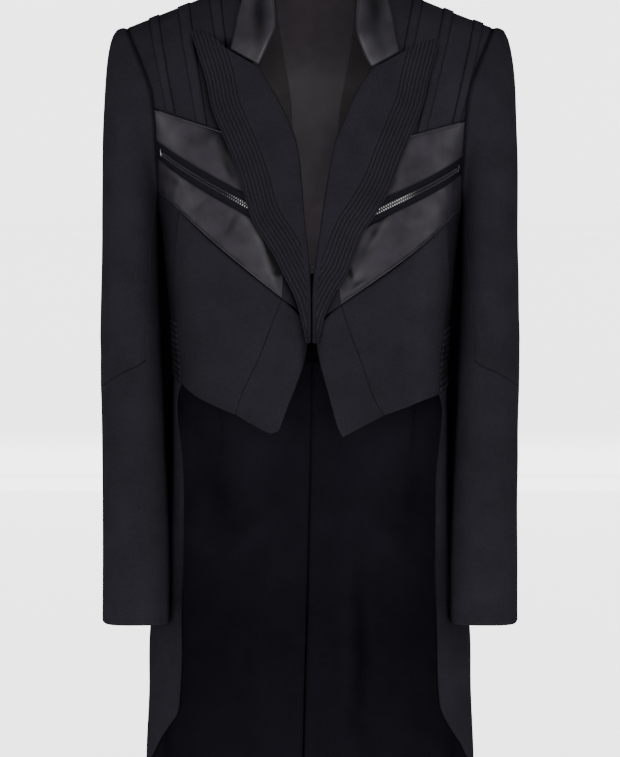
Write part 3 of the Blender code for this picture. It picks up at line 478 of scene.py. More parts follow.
def placed(name, mesh, *materials):
    made = bpy.data.objects.new(name, mesh)
    for material in materials:
        made.data.materials.append(material)
    bpy.context.scene.collection.objects.link(made)
    return made


def shell_faces(rows, columns):
    """Faces of a closed shell between two grids of points: outer, inner and rim."""
    index = np.arange(rows * columns).reshape(rows, columns)
    quads = np.stack([index[:-1, :-1], index[:-1, 1:], index[1:, 1:], index[1:, :-1]], -1).reshape(-1, 4)
    loop = np.concatenate([index[0, :-1], index[:-1, -1], index[-1, :0:-1], index[:0:-1, 0]])
    following, other = np.roll(loop, -1), rows * columns
    rim = np.stack([following, loop, loop + other, following + other], -1)
    return np.vstack([quads, quads[:, ::-1] + other, rim]), len(quads)


def cloth(name, piece, wall, outside, inside, slot, turn=0.7, relief=0.0, inner_relief=0.0, node=None,
          held="stretched", rests_on=(), values=None):
    """Closed thin shell for a piece: rolled at its rim and uneven as sewn cloth is."""
    away = np.clip(piece.from_rim / turn, 0, 1)
    roll = -turn * (1 - np.sqrt(np.maximum(1 - (1 - away) ** 2, 0)))
    seed = sum(name.encode())
    pucker = 0.16 * waves(piece.points, 7, seed) * np.exp(-piece.from_rim / 5)
    sag = 0.22 * waves(piece.points, 42, seed + 1) * ease(piece.from_rim / 12)
    piece.raised = roll + pucker + sag + relief
    outer = piece.moved(piece.raised)
    inner = piece.moved(sag + inner_relief - wall)
    rows, columns = outer.shape[:2]
    faces, outer_count = shell_faces(rows, columns)
    uv = np.stack([piece.across, piece.down], -1).reshape(-1, 2)
    mesh = made_mesh(name, np.vstack([outer.reshape(-1, 3), inner.reshape(-1, 3)]), faces, piece.side,
                     np.vstack([uv, uv]))
    lining_face = np.zeros(len(mesh.polygons), np.int32)
    lining_face[outer_count:2 * outer_count] = 1
    mesh.polygons.foreach_set("material_index", lining_face)
    for key, amounts in (values or {}).items():
        layer = mesh.attributes.new(key, "FLOAT", "POINT")
        layer.data.foreach_set("value", np.concatenate([np.ravel(amounts)] * 2))
    made = placed(name, mesh, outside, inside)
    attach(made, "root")
    if node:
        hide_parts(node)
    sides = outer[1:, 1:] - outer[:-1, :-1], outer[1:, :-1] - outer[:-1, 1:]
    return made


# Small stitches of black thread. They follow lines of points on the cloth, each lying along its line
# and flat on the cloth, and every row of a piece is one joined mesh.
def new_tree(name, sockets):
    tree = bpy.data.node_groups.new(name, "GeometryNodeTree")
    tree.interface.new_socket("Geometry", in_out="OUTPUT", socket_type="NodeSocketGeometry")
    tree.interface.new_socket("Geometry", in_out="INPUT", socket_type="NodeSocketGeometry")
    for label, kind, value in sockets:
        socket = tree.interface.new_socket(label, in_out="INPUT", socket_type=kind)
        if value is not None:
            socket.default_value = value
    return tree


def add_node(tree, kind, settings=None, inputs=None):
    made = tree.nodes.new(kind)
    for key, value in (settings or {}).items():
        setattr(made, key, value)
    for key, value in (inputs or {}).items():
        if isinstance(value, bpy.types.NodeSocket):
            tree.links.new(value, made.inputs[key])
        else:
            made.inputs[key].default_value = value
    return made


def follow_tree(name, shape, pitch, size, material):
    """Tree that sets a small shape along lines at a pitch, lying along each line and facing off the cloth."""
    tree = new_tree(name, (("Pitch", "NodeSocketFloat", pitch), ("Size", "NodeSocketVector", size),
                           ("Material", "NodeSocketMaterial", material)))
    given = tree.nodes.new("NodeGroupInput")
    curve = add_node(tree, "GeometryNodeMeshToCurve", None, {"Mesh": given.outputs["Geometry"]})
    spaced = add_node(tree, "GeometryNodeResampleCurve", {"mode": "LENGTH"},
                      {"Curve": curve.outputs[0], "Length": given.outputs["Pitch"]})
    tangent = tree.nodes.new("GeometryNodeInputTangent")
    lift = add_node(tree, "GeometryNodeInputNamedAttribute", {"data_type": "FLOAT_VECTOR"}, {"Name": "lift"})
    along = add_node(tree, "FunctionNodeAlignRotationToVector", {"axis": "X"}, {"Vector": tangent.outputs[0]})
    upright = add_node(tree, "FunctionNodeAlignRotationToVector", {"axis": "Z", "pivot_axis": "X"},
                       {"Rotation": along.outputs[0], "Vector": lift.outputs[0]})
    made = add_node(tree, shape[0], None, shape[1])
    sized = add_node(tree, "GeometryNodeTransform", None,
                     {"Geometry": made.outputs[0], "Scale": given.outputs["Size"]})
    spread = add_node(tree, "GeometryNodeInstanceOnPoints", None,
                      {"Points": spaced.outputs[0], "Instance": sized.outputs[0], "Rotation": upright.outputs[0]})
    real = add_node(tree, "GeometryNodeRealizeInstances", None, {"Geometry": spread.outputs[0]})
    smooth = add_node(tree, "GeometryNodeSetShadeSmooth", None, {"Geometry": real.outputs[0]})
    dressed = add_node(tree, "GeometryNodeSetMaterial", None,
                       {"Geometry": smooth.outputs[0], "Material": given.outputs["Material"]})
    result = tree.nodes.new("NodeGroupOutput")
    tree.links.new(dressed.outputs[0], result.inputs[0])
    return tree


def lines_object(name, lines, side):
    """Mesh of open lines, with the cloth's normal as the attribute lift."""
    points, links, lifts = [], [], []
    for line, normals in lines:
        start = len(points)
        points += list(line)
        lifts += list(normals)
        links += [(start + k, start + k + 1) for k in range(len(line) - 1)]
    mirror = np.array([SIGN[side], 1, 1])
    mesh = bpy.data.meshes.new(name)
    mesh.from_pydata((np.array(points) * mirror * 0.001).tolist(), links, [])
    layer = mesh.attributes.new("lift", "FLOAT_VECTOR", "POINT")
    layer.data.foreach_set("vector", (np.array(lifts) * mirror).ravel())
    return placed(name, mesh)


def grown(made, tree, values):
    """Run a tree on an object, keep its result as a plain mesh and let it ride with the jacket."""
    modifier = made.modifiers.new("grown", "NODES")
    modifier.node_group = tree
    for item in tree.interface.items_tree:
        if item.item_type == "SOCKET" and item.in_out == "INPUT" and item.name in values:
            modifier[item.identifier] = values[item.name]
    bpy.context.view_layer.update()
    result = bpy.data.meshes.new_from_object(made.evaluated_get(bpy.context.evaluated_depsgraph_get()))
    made.modifiers.clear()
    made.data = result
    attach(made, "root")
    return made


thread, shader, place = finish("thread", 0.7, 0.1)
drive(shader, "Base Color", place.noise(2200.0).step(0.3, 0.7).colours((0.009, 0.009, 0.011), (0.018, 0.017, 0.021)))
STITCH_PITCH, STITCH_SIZE = 0.0026, (0.0019, 0.00055, 0.00045)
stitches = follow_tree("stitches", ("GeometryNodeMeshUVSphere", {"Segments": 6, "Rings": 4, "Radius": 0.5}),
                       STITCH_PITCH, STITCH_SIZE, thread)


def sew(name, lines, side):
    lines = [line for line in lines if len(line[0]) > 2]
    return grown(lines_object(name, lines, side), stitches, {})


# The front yokes, from the shoulder seam down to the satin. Three folded bands of the same wool lie on
# each, and the middle one runs under the lapel.
ARMHOLE_FRONT = (SHOULDER_TIP, (184, -62), (176, -80), (168, -100), (162, -118), (160, -134),
                 (158, -168), (157, -195), (156.5, -220), (157, -245))
ARMHOLE_BACK = (SHOULDER_TIP, (184, -70), (176, -105), (170, -145), (165, -185), (160, -222), (157, -245))
NECK_EDGE = {
    RIGHT: ((73, 0), (69, -50), (56, -97), (32, -139), (15, -190)),
    LEFT: ((73, 0), (73, -50), (67.5, -99), (49, -131), (25.5, -192)),
}
SATIN_TOP = {RIGHT: ((15, -190), (88, -163), -136), LEFT: ((25.5, -192), (100, -167), -148)}
ZIP_TOP = {RIGHT: ((8, -262), (64, -227), -168), LEFT: ((15, -262), (75, -230), -184)}
ZIP_BOTTOM = {RIGHT: ((6, -284), (48, -256), -184), LEFT: ((11, -287), (81, -246), -200)}
SATIN_BOTTOM = {
    RIGHT: ((3, -352), (28, -330), (134, -238), -220),
    LEFT: ((7, -357), (31, -336), (141, -250), -237),
}
BAND_COLUMNS = (
    "outer_top", "inner_top", "outer_foot", "inner_foot", "outer_foot_height", "inner_foot_height",
)
BANDS = {
    RIGHT: ((168, 157, 147, 137, -138, -142), (138, 125, 116, 104, -150, -155), (106, 93, 93, 82, -88, -92)),
    LEFT: ((181, 170, 154, 145, -148, -151), (150, 139, 119, 108, -159, -163), (118, 107, 102, 91, -92, -96)),
}
LAPEL_EDGE = {
    RIGHT: ((120, -59), (112, -84), (104, -109), (98, -138), (88, -163), (71, -206), (58, -250), (38, -284),
            (24, -312), (13, -336), (4, -376)),
    LEFT: ((130, -68), (120, -104), (112, -137), (100, -167), (89, -194), (79, -221), (64, -248), (52, -267),
           (38, -304), (27, -322), (16, -345), (8, -376)),
}
PEAK_HEIGHT = {RIGHT: -61, LEFT: -70}
# Painted shadow of each lapel, as its amount and width, and painted light on the wearer's left yoke.
LAPEL_SHADE = {RIGHT: (0.7, 5.5), LEFT: (0.45, 3.6)}
YOKE_PAINTED_LIGHT = {RIGHT: 0.0, LEFT: 0.12}
BAND_WALL, ON_TOP, CLOTH_WALL, SATIN_WALL = 1.1, 0.2, 1.6, 1.2


def shoulder_points():
    return [(across, shoulder_height(across)) for across in np.linspace(NECK_HALF_WIDTH, SHOULDER_TIP_ACROSS, 25)]


def armhole_part(line, start, end):
    return [(across_at(line, height), height) for height in np.linspace(start, end, 9)]


def chest_points(row):
    """Points of a seam that ends on the armhole at the height that its row ends with."""
    *points, height = row
    return [*points, (across_at(ARMHOLE_FRONT, height), height)]


def painted_edge_shade(piece, edge, width, amount):
    """Painted shade along one edge of a piece, where shade falls at its seam or rim."""
    return amount * np.exp(-(piece.from_edges[edge] / width) ** 2)


def lapel_shadow(side, points):
    """Painted shadow under a lapel and beside its outer edge."""
    amount, width = LAPEL_SHADE[side]
    off = points[..., 0] - across_at(LAPEL_EDGE[side], points[..., 2])
    return amount * np.exp(-(np.maximum(off, 0) / width) ** 2) * ease((PEAK_HEIGHT[side] - points[..., 2]) / 14)


for side in (RIGHT, LEFT):
    yoke = Piece(side, (
        front_edge(shoulder_points()), front_edge(chest_points(SATIN_TOP[side])),
        front_edge(NECK_EDGE[side][:2], NECK_EDGE[side][1:]),
        front_edge(armhole_part(ARMHOLE_FRONT, SHOULDER_TIP[1], SATIN_TOP[side][-1]))))
    # Painted shade along the satin seam and the armhole and under the lapel, and painted light on the left yoke.
    shade = painted_edge_shade(yoke, "bottom", 2.0, 0.7) + painted_edge_shade(yoke, "last", 2.0, 0.6) + lapel_shadow(side, yoke.points)
    shade -= YOKE_PAINTED_LIGHT[side]
    cloth(f"{side}_yoke_cloth", yoke, CLOTH_WALL, wool, wool_inside, "wool", node=f"{side}_front_yoke",
          values={"shadow": shade})
    for number, row in enumerate(BANDS[side], 1):
        band = dict(zip(BAND_COLUMNS, row))
        edges = []
        for edge in ("inner", "outer"):
            top, foot, foot_height = band[f"{edge}_top"], band[f"{edge}_foot"], band[f"{edge}_foot_height"]
            start = shoulder_height(top)
            heights = start + (foot_height - start) * np.linspace(0, 1, 6) ** 1.5
            edges.append([(top + (foot - top) * (height - start) / (foot_height - start), height)
                          for height in heights])
        strip = Piece(side, (
            front_edge((edges[0][0], edges[1][0])), front_edge((edges[0][-1], edges[1][-1])),
            front_edge(edges[0]), front_edge(edges[1])), spacing=2.5, out=ON_TOP + BAND_WALL)
        # Each band has painted shade along both sides and under the lapel, and a little painted light all over.
        cloth(f"{side}_band_{number}", strip, BAND_WALL, wool, wool, "wool", turn=1.0,
              node=f"{side}_shoulder_band_{number}", rests_on=[f"{side}_yoke_cloth"],
              values={"shadow": painted_edge_shade(strip, "first", 1.6, 0.6) + painted_edge_shade(strip, "last", 1.6, 0.6) - 0.1
                      + lapel_shadow(side, strip.points)})


# The satin panels above and below each zip. Their edges are folded under along the zip and stitched, and a
# thin satin piping lies along the upper panel's top and the lower panel's bottom.
ROLL_LINE = {
    RIGHT: ((52, -97), (28, -139), (18, -161), (12, -182), (8, -215), (5, -254), (1, -292), (-1, -322),
            (-1, -376)),
    LEFT: ((62, -99), (43, -131), (37, -146), (26, -171), (20, -199), (15, -230), (6, -292), (2.4, -322),
           (2.2, -376)),
}
UNDER_LAPEL, PIPING_RADIUS, PIPING_LIMITS = 13, 0.75, (28, 154)
# Across, height, length, width, turn in degrees and depth of the satin's soft creases.
SATIN_CREASES = {
    RIGHT: ((111, -235, 9, 2.6, -38, -0.9), (82, -256, 15, 3.0, -46, -1.3), (44, -284, 36, 5, 70, -1.4),
            (92, -176, 24, 9, 60, -1.0), (139, -212, 9, 4, 20, -0.5), (31, -309, 5, 3, 0, -0.8)),
    LEFT: ((69, -250, 6, 4, 0, -0.8), (60, -278, 26, 5, 62, -1.2), (41, -306, 9, 3.2, -62, -0.9),
           (51, -308, 9, 3.0, 25, 0.3), (52, -316, 8, 2.4, 38, -0.5), (102, -194, 12, 5, 20, -0.5),
           (118, -250, 18, 5, 35, -0.4)),
}
# The same columns, with how much painted shade lies where the cloth turns from the light.
# Below 0 it is painted light.
SATIN_SHADOWS = {
    RIGHT: ((100, -163, 17, 8, -20, 0.35), (92, -176, 22, 9, 60, 0.45), (80, -200, 18, 4, 62, 0.6),
            (139, -212, 9, 4, 20, 0.3), (44, -284, 38, 4.6, 70, 0.45), (41.6, -286, 9, 3.5, 65, 0.3),
            (31, -309, 5, 3.5, 0, 0.5), (34, -300, 10, 5, 70, 0.45), (111, -235, 9, 2.2, -38, 0.22), (82, -256, 15, 2.4, -46, 0.3),
            (145, -160, 16, 12, 80, -0.15), (120, -232, 24, 8, -40, -0.1)),
    LEFT: ((69, -250, 6, 4, 0, 0.8), (66, -264, 9, 3.6, 76, 0.55), (58, -285, 15, 6, 60, 0.5),
           (41, -306, 9, 3.0, -62, 0.85), (51.8, -316, 8, 2.0, 38, 0.65), (35.5, -317, 13, 7, 55, 0.45),
           (51.8, -309.5, 8, 2.2, 25, -0.45), (102, -194, 12, 5, 20, 0.25), (82, -216, 9, 4, 60, 0.3)),
}
# Corners of a thin wool patch laid over the satin's inner tip, darkened with painted shade: top, bottom.
SATIN_CORNER = {
    RIGHT: (((12, -302), (27.2, -306)), ((8, -345), (28.6, -331))),
    LEFT: (((14, -318), (29.6, -322)), ((10, -352), (31.6, -337))),
}


def roll_part(side, start, end):
    """Inner edge of a front between two seams, behind the lapel's fold."""
    first = start[0] - across_at(ROLL_LINE[side], start[1])
    last = end[0] - across_at(ROLL_LINE[side], end[1])
    t = np.linspace(0, 1, 5)
    heights = start[1] + (end[1] - start[1]) * t
    return [(across_at(ROLL_LINE[side], height) + first + (last - first) * share, height)
            for height, share in zip(heights, t)]


def tube(name, points, radius, side, sides=10, closed=False):
    """Round cord of a radius through points."""
    points = np.asarray(points, float)
    ahead = np.roll(points, -1, axis=0) - np.roll(points, 1, axis=0)
    if not closed:
        ahead[0], ahead[-1] = points[1] - points[0], points[-1] - points[-2]
    ahead /= np.linalg.norm(ahead, axis=1, keepdims=True)
    over = np.cross(ahead, [0.3, -1.0, 0.2])
    over /= np.linalg.norm(over, axis=1, keepdims=True)
    up = np.cross(over, ahead)
    turns = math.tau * np.arange(sides) / sides
    rings = (points[:, None] + radius * (np.cos(turns)[None, :, None] * over[:, None]
                                         + np.sin(turns)[None, :, None] * up[:, None]))
    count = len(points)
    faces = [(j * sides + k, j * sides + (k + 1) % sides,
              (j + 1) % count * sides + (k + 1) % sides, (j + 1) % count * sides + k)
             for j in range(count if closed else count - 1) for k in range(sides)]
    vertices = rings.reshape(-1, 3)
    if not closed:
        ends = np.vstack([points[0] - ahead[0] * radius * 0.5, points[-1] + ahead[-1] * radius * 0.5])
        vertices = np.vstack([vertices, ends])
        last = (count - 1) * sides
        faces += [(k, count * sides, count * sides, (k + 1) % sides) for k in range(sides)]
        faces += [(last + k, last + (k + 1) % sides, count * sides + 1, count * sides + 1) for k in range(sides)]
    lengths = np.concatenate([[0], np.cumsum(np.linalg.norm(np.diff(points, axis=0), axis=1))])
    uv = np.stack([np.repeat(lengths, sides), np.tile(turns * radius, count)], -1)
    uv = np.vstack([uv, np.zeros((len(vertices) - len(uv), 2))])
    mesh = made_mesh(name, vertices, faces, side, uv)
    mesh.validate()
    return mesh


for side in (RIGHT, LEFT):
    top, zip_top, zip_bottom, bottom = (
        chest_points(row[side]) for row in (SATIN_TOP, ZIP_TOP, ZIP_BOTTOM, SATIN_BOTTOM))
    upper = Piece(side, (
        front_edge(top), front_edge(zip_top), front_edge(roll_part(side, top[0], zip_top[0])),
        front_edge(armhole_part(ARMHOLE_FRONT, top[-1][1], zip_top[-1][1]))), spacing=2.0)
    lower = Piece(side, (
        front_edge(zip_bottom), front_edge(bottom[:2], bottom[1:3], bottom[2:]),
        front_edge(roll_part(side, zip_bottom[0], bottom[0])),
        front_edge(armhole_part(ARMHOLE_FRONT, zip_bottom[-1][1], bottom[-1][1]))), spacing=2.0)
    for name, panel in (("upper", upper), ("lower", lower)):
        soft = creased(SATIN_CREASES[side], panel.points[..., 0], panel.points[..., 2])
        soft = soft + 0.25 * waves(panel.points, 13, 21)
        # Painted shade and painted light from their table and along the rim, with a slight random clouding.
        painted_shading = creased(SATIN_SHADOWS[side], panel.points[..., 0], panel.points[..., 2])
        painted_shading += 0.06 * waves(panel.points, 14, 22) + 0.7 * np.exp(-(panel.from_rim / 1.3) ** 2)
        painted_shading = np.clip(painted_shading + lapel_shadow(side, panel.points), -0.6, 0.9)
        cloth(f"{side}_satin_{name}_cloth", panel, SATIN_WALL, satin, satin, "satin", turn=0.9,
              relief=soft * ease(panel.from_rim / 4), node=f"{side}_satin_{name}", values={"shadow": painted_shading})
    top_line, bottom_line = SATIN_CORNER[side]
    corner = Piece(side, (front_edge(top_line), front_edge(bottom_line), front_edge((top_line[0], bottom_line[0])),
                          front_edge((top_line[1], bottom_line[1]))), spacing=2.0, out=1.0)
    cloth(f"{side}_satin_corner", corner, 0.9, wool, wool, "wool", turn=0.5, rests_on=[f"{side}_satin_lower_cloth"],
          values={"shadow": 0.1 + lapel_shadow(side, corner.points)})
    sew(f"{side}_satin_stitches", [
        upper.line("bottom", 1.7), lower.line("top", 1.7), upper.line("top", 3.0), lower.line("bottom", 3.2)], side)
    for name, row in (("top", SATIN_TOP), ("bottom", SATIN_BOTTOM)):
        places = front_edge(chest_points(row[side])).at(np.linspace(0, 1, 161))
        points, normals = body_point(places[:, 0], places[:, 1]), normals_of(body_point, places)
        limit = np.maximum(across_at(LAPEL_EDGE[side], places[:, 1]) - UNDER_LAPEL, PIPING_LIMITS[0])
        shown = (points[:, 0] > limit) & (points[:, 0] < PIPING_LIMITS[1])
        line = points[shown] + normals[shown] * (PIPING_RADIUS * 0.6)
        piping = placed(f"{side}_piping_{name}_cord", tube("piping", line, PIPING_RADIUS, side), satin)
        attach(piping, "root")
        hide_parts(f"{side}_piping_{name}")


# The closed zips: a ribbed woven tape between the satin edges, and two rows of nickel teeth that mesh.
# The teeth nearest the lapel carry a painted highlight, and the rest are painted dull.
ZIP_TAPE_DEPTH, ZIP_CHAIN_OUTER, ZIP_CROSSING_HEIGHT = 0.7, 150, -242
# The stop's painted highlight is full on the right and nearly painted out on the left.
ZIP_STOP_ACROSS, STOP_WIRE, STOP_PAINTED_GLINT = 152.5, 0.3, {RIGHT: 1.0, LEFT: 0.2}
STOP_PATH = ((2.2, 3.4), (0.2, 3.7), (-0.3, 2.6), (-0.6, 0), (-0.7, -3.4))
TOOTH_PITCH, TOOTH_SIZE, TOOTH_OFFSET, TOOTH_LIFT = 0.0026, (0.0009, 0.0018, 0.0014), 1.4, 0.6
# How far beyond the lapel's edge the teeth's painted highlight is full, and where it has gone.
PAINTED_GLINT_REACH, PAINTED_GLINT_FALL = {RIGHT: (0, 44), LEFT: (22, 48)}, {RIGHT: 2.4, LEFT: 1.3}
zip_tape, shader, place = finish("zip_tape", 0.9, 0.0)
ribs, across, down = weave(place, 0.0011, 0.0)
drive(shader, "Base Color", ribs.colours((0.006, 0.0055, 0.0075), (0.015, 0.0138, 0.0178)))
relief(shader, ribs, 0.0002, 0.8)
zip_metal, shader, place = finish("zip_metal", 0.28, 0.5, metallic=1.0)
painted_glint = place.value("painted_glint")
worn = place.noise(600.0)
# The teeth's colour goes from dull dark nickel to a bright painted highlight as their painted glint value rises.
drive(shader, "Base Color", (painted_glint + worn * 0.25 - 0.1).step(0.0, 1.0).colours((0.07, 0.07, 0.075), (0.6, 0.6, 0.6)))
drive(shader, "Roughness", 0.55 - painted_glint * 0.2 + worn * 0.1)
teeth = follow_tree("teeth", ("GeometryNodeMeshCube", {"Size": (1, 1, 1), "Vertices X": 2, "Vertices Y": 3,
                                                       "Vertices Z": 2}), TOOTH_PITCH, TOOTH_SIZE, zip_metal)
for side in (RIGHT, LEFT):
    top, bottom = chest_points(ZIP_TOP[side]), chest_points(ZIP_BOTTOM[side])
    tape = Piece(side, (
        front_edge(top), front_edge(bottom), front_edge(roll_part(side, top[0], bottom[0])),
        front_edge(armhole_part(ARMHOLE_FRONT, top[-1][1], bottom[-1][1]))), spacing=2.0, out=-ZIP_TAPE_DEPTH)
    cloth(f"{side}_tape_cloth", tape, 1.0, zip_tape, zip_tape, "zip_tape", turn=0.3, node=f"{side}_zip_tape")
    shares_along = np.linspace(0, 1, 161)
    middle = (front_edge(top).at(shares_along) + front_edge(bottom).at(shares_along)) / 2
    points, normals = body_point(middle[:, 0], middle[:, 1]), normals_of(body_point, middle)
    limit = across_at(LAPEL_EDGE[side], ZIP_CROSSING_HEIGHT) - UNDER_LAPEL
    shown = (points[:, 0] > limit) & (points[:, 0] < ZIP_CHAIN_OUTER)
    points, normals = points[shown], normals[shown]
    ahead = np.gradient(points, axis=0)
    upwards = np.cross(normals, ahead)
    upwards /= np.linalg.norm(upwards, axis=1, keepdims=True)
    rail = points + normals * TOOTH_LIFT
    half_pitch = ahead / np.linalg.norm(ahead, axis=1, keepdims=True) * TOOTH_PITCH * 500
    chain = lines_object(f"{side}_teeth", [
        (rail + upwards * TOOTH_OFFSET, normals), (rail - upwards * TOOTH_OFFSET + half_pitch, normals)], side)
    grown(chain, teeth, {})
    away = np.array([abs(v.co.x) * 1000 for v in chain.data.vertices]) - limit - UNDER_LAPEL
    bright, gone = PAINTED_GLINT_REACH[side]
    tooth_glint = ease((gone - away) / (gone - bright)) ** PAINTED_GLINT_FALL[side]
    layer = chain.data.attributes.new("painted_glint", "FLOAT", "POINT")
    layer.data.foreach_set("value", tooth_glint)
    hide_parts(f"{side}_zip_chain")
    at = int(np.argmin(np.abs(body_point(middle[:, 0], middle[:, 1])[:, 0] - ZIP_STOP_ACROSS)))
    centre, normal = body_point(*middle[at]), normals_of(body_point, middle[at])
    over = np.cross(normal, [0, 0, 1.0])
    over /= np.linalg.norm(over)
    up = np.cross(over, normal)
    path = through(STOP_PATH, 6)
    staple = centre + over * path[:, :1] + up * path[:, 1:] + normal * STOP_WIRE
    stop = placed(f"{side}_stop", tube("stop", staple, STOP_WIRE, side, 8), zip_metal)
    layer = stop.data.attributes.new("painted_glint", "FLOAT", "POINT")
    layer.data.foreach_set("value", [STOP_PAINTED_GLINT[side]] * len(stop.data.vertices))
    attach(stop, "root")
    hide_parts(f"{side}_zip_stop")


# The lower fronts: a side front and a point at the closing, joined by a slanted dart seam, with the hem
# turned under. The cloth lies smooth, with a soft swell beside the seams.
DART = {
    RIGHT: ((28, -330), (41, -363), (53, -393), (68, -424), (76, -449)),
    LEFT: ((31, -336), (41, -366), (54, -400), (64, -429), (75, -450)),
}
SIDE_FRONT = {
    RIGHT: ((134, -238), (139, -285), (141.5, -318), (138, -352), (133, -417)),
    LEFT: ((141, -250), (143, -290), (144, -315), (138.5, -361), (134, -428)),
}
CUTAWAY = {
    RIGHT: ((3, -352), (3, -379), (6, -396), (14, -419), (22, -439), (29, -458), (32, -465), (38, -468)),
    LEFT: ((7, -357), (7, -379), (10, -396), (16, -418), (21, -436), (27, -458), (33, -472)),
}
FRONT_HEM = {
    RIGHT: ((38, -468), (46, -466), (76, -449), (113, -433), (125, -425), (133, -417)),
    LEFT: ((33, -472), (52, -462), (75, -450), (113, -436), (127, -431), (134, -428)),
}
FRONT_CREASES = {
    RIGHT: ((60, -360, 40, 9, -60, 0.5), (100, -300, 50, 14, -75, -0.5), (110, -380, 34, 10, 20, 0.4),
            (20, -385, 22, 6, 70, 0.5)),
    LEFT: ((64, -352, 40, 9, 120, -0.5), (104, -310, 50, 14, -75, -0.5), (90, -392, 36, 10, -15, 0.4),
           (24, -380, 22, 6, 70, 0.5)),
}
# How much painted light brightens the cloth towards the wearer's sides.
FLANK_PAINTED_LIGHT = {RIGHT: 0.12, LEFT: 0.34}
for side in (RIGHT, LEFT):
    tip, corner = SATIN_BOTTOM[side][1], SATIN_BOTTOM[side][2]
    *upper_seam, seam_foot = SIDE_FRONT[side]
    side_front = Piece(side, (
        front_edge((tip, corner)), front_edge(FRONT_HEM[side][2:]), front_edge(DART[side]),
        front_edge(upper_seam, (upper_seam[-1], seam_foot))))
    point = Piece(side, (
        front_edge(SATIN_BOTTOM[side][:2]), front_edge(FRONT_HEM[side][:3]),
        front_edge(CUTAWAY[side]), front_edge(DART[side])), spacing=2.0)
    for name, panel, node in (("side_front", side_front, "front_side"), ("point", point, "front_point")):
        soft = creased(FRONT_CREASES[side], panel.points[..., 0], panel.points[..., 2])
        # Painted shade under the satin's piping, under the lapel and along the dart and side seams, and painted light
        # towards the sides.
        shade = painted_edge_shade(panel, "top", 2.4, 0.9) + 0.8 * lapel_shadow(side, panel.points)
        shade += painted_edge_shade(panel, "first" if name == "side_front" else "last", 1.0, 0.15)
        shade -= FLANK_PAINTED_LIGHT[side] * ease((np.abs(panel.points[..., 0]) - 88) / 32)
        if name == "side_front":
            shade += painted_edge_shade(panel, "last", 1.1, 0.3)
        cloth(f"{side}_{name}_cloth", panel, CLOTH_WALL, wool, wool_inside, "wool", relief=soft,
              inner_relief=soft, node=f"{side}_{node}", values={"shadow": shade})


# The side panels: plain above, and at the waist ten raised ribs that close the cloth in like a corset.
SIDE_BACK, SIDE_BACK_TOP = ((140, -230), (122, -290), (112, -342), (106, -395)), -172
RIB_TOP, WAIST = {RIGHT: -348, LEFT: -355}, {RIGHT: -406, LEFT: -416}
RIB_COUNT, RIB_HEIGHT, RIB_SHADE = 10, 1.6, 0.22
# Painted shade beside the sleeve: its amount, and the angles where it starts, is full, begins to fade and is gone.
ARM_SHADE, ARM_SHADE_ANGLES = 0.6, (78, 92, 104, 118)


def painted_arm_shade(panel):
    """Painted shade on a side panel where the sleeve hangs beside it, and along its front seam."""
    start, full, fading, end = ARM_SHADE_ANGLES
    turned = np.abs(panel.places[..., 0])
    dark = ease((turned - start) / (full - start)) * ease((end - turned) / (end - fading))
    return ARM_SHADE * dark + painted_edge_shade(panel, "first", 1.1, 0.3)


for side in (RIGHT, LEFT):
    *upper_seam, seam_foot = SIDE_FRONT[side]
    bottom = chest_points(SATIN_BOTTOM[side])
    rib_line = [front_place(*upper_seam[-1]), (90, RIB_TOP[side]), back_place(*SIDE_BACK[2])]
    waist = [front_place(*seam_foot), (90, WAIST[side]), back_place(*SIDE_BACK[-1])]
    armhole_top = Edge(
        body_point, [front_place(*point) for point in bottom[2:]],
        [front_place(*point) for point in armhole_part(ARMHOLE_FRONT, bottom[-1][1], ARMPIT_HEIGHT)],
        [back_place(*point) for point in armhole_part(ARMHOLE_BACK, ARMPIT_HEIGHT, SIDE_BACK_TOP)])
    back_top = (across_at(ARMHOLE_BACK, SIDE_BACK_TOP), SIDE_BACK_TOP)
    upper = Piece(side, (armhole_top, Edge(body_point, rib_line), front_edge(upper_seam),
                         back_edge((back_top, *SIDE_BACK[:3]))))
    cloth(f"{side}_side_cloth", upper, CLOTH_WALL, wool, wool_inside, "wool", node=f"{side}_side_upper",
          values={"shadow": painted_arm_shade(upper)})
    ribbed = Piece(side, (Edge(body_point, rib_line), Edge(body_point, waist),
                          front_edge((upper_seam[-1], seam_foot)), back_edge(SIDE_BACK[2:])), spacing=1.5)
    swell = np.sin(math.pi * RIB_COUNT * ribbed.v[:, None] + 0.5 * waves(ribbed.points, 16, 8)) ** 2
    swell = RIB_HEIGHT * swell ** 0.7 * (1 + 0.25 * waves(ribbed.points, 11, 9))
    # The troughs between the ribs get painted shade as well.
    cloth(f"{side}_ribs_cloth", ribbed, CLOTH_WALL, wool, wool_inside, "wool",
          values={"shadow": painted_arm_shade(ribbed) + RIB_SHADE * (1 - swell / RIB_HEIGHT)},
          relief=swell * ease(ribbed.from_edges["first"] / 3) * ease(ribbed.from_edges["last"] / 3),
          node=f"{side}_side_ribbed")


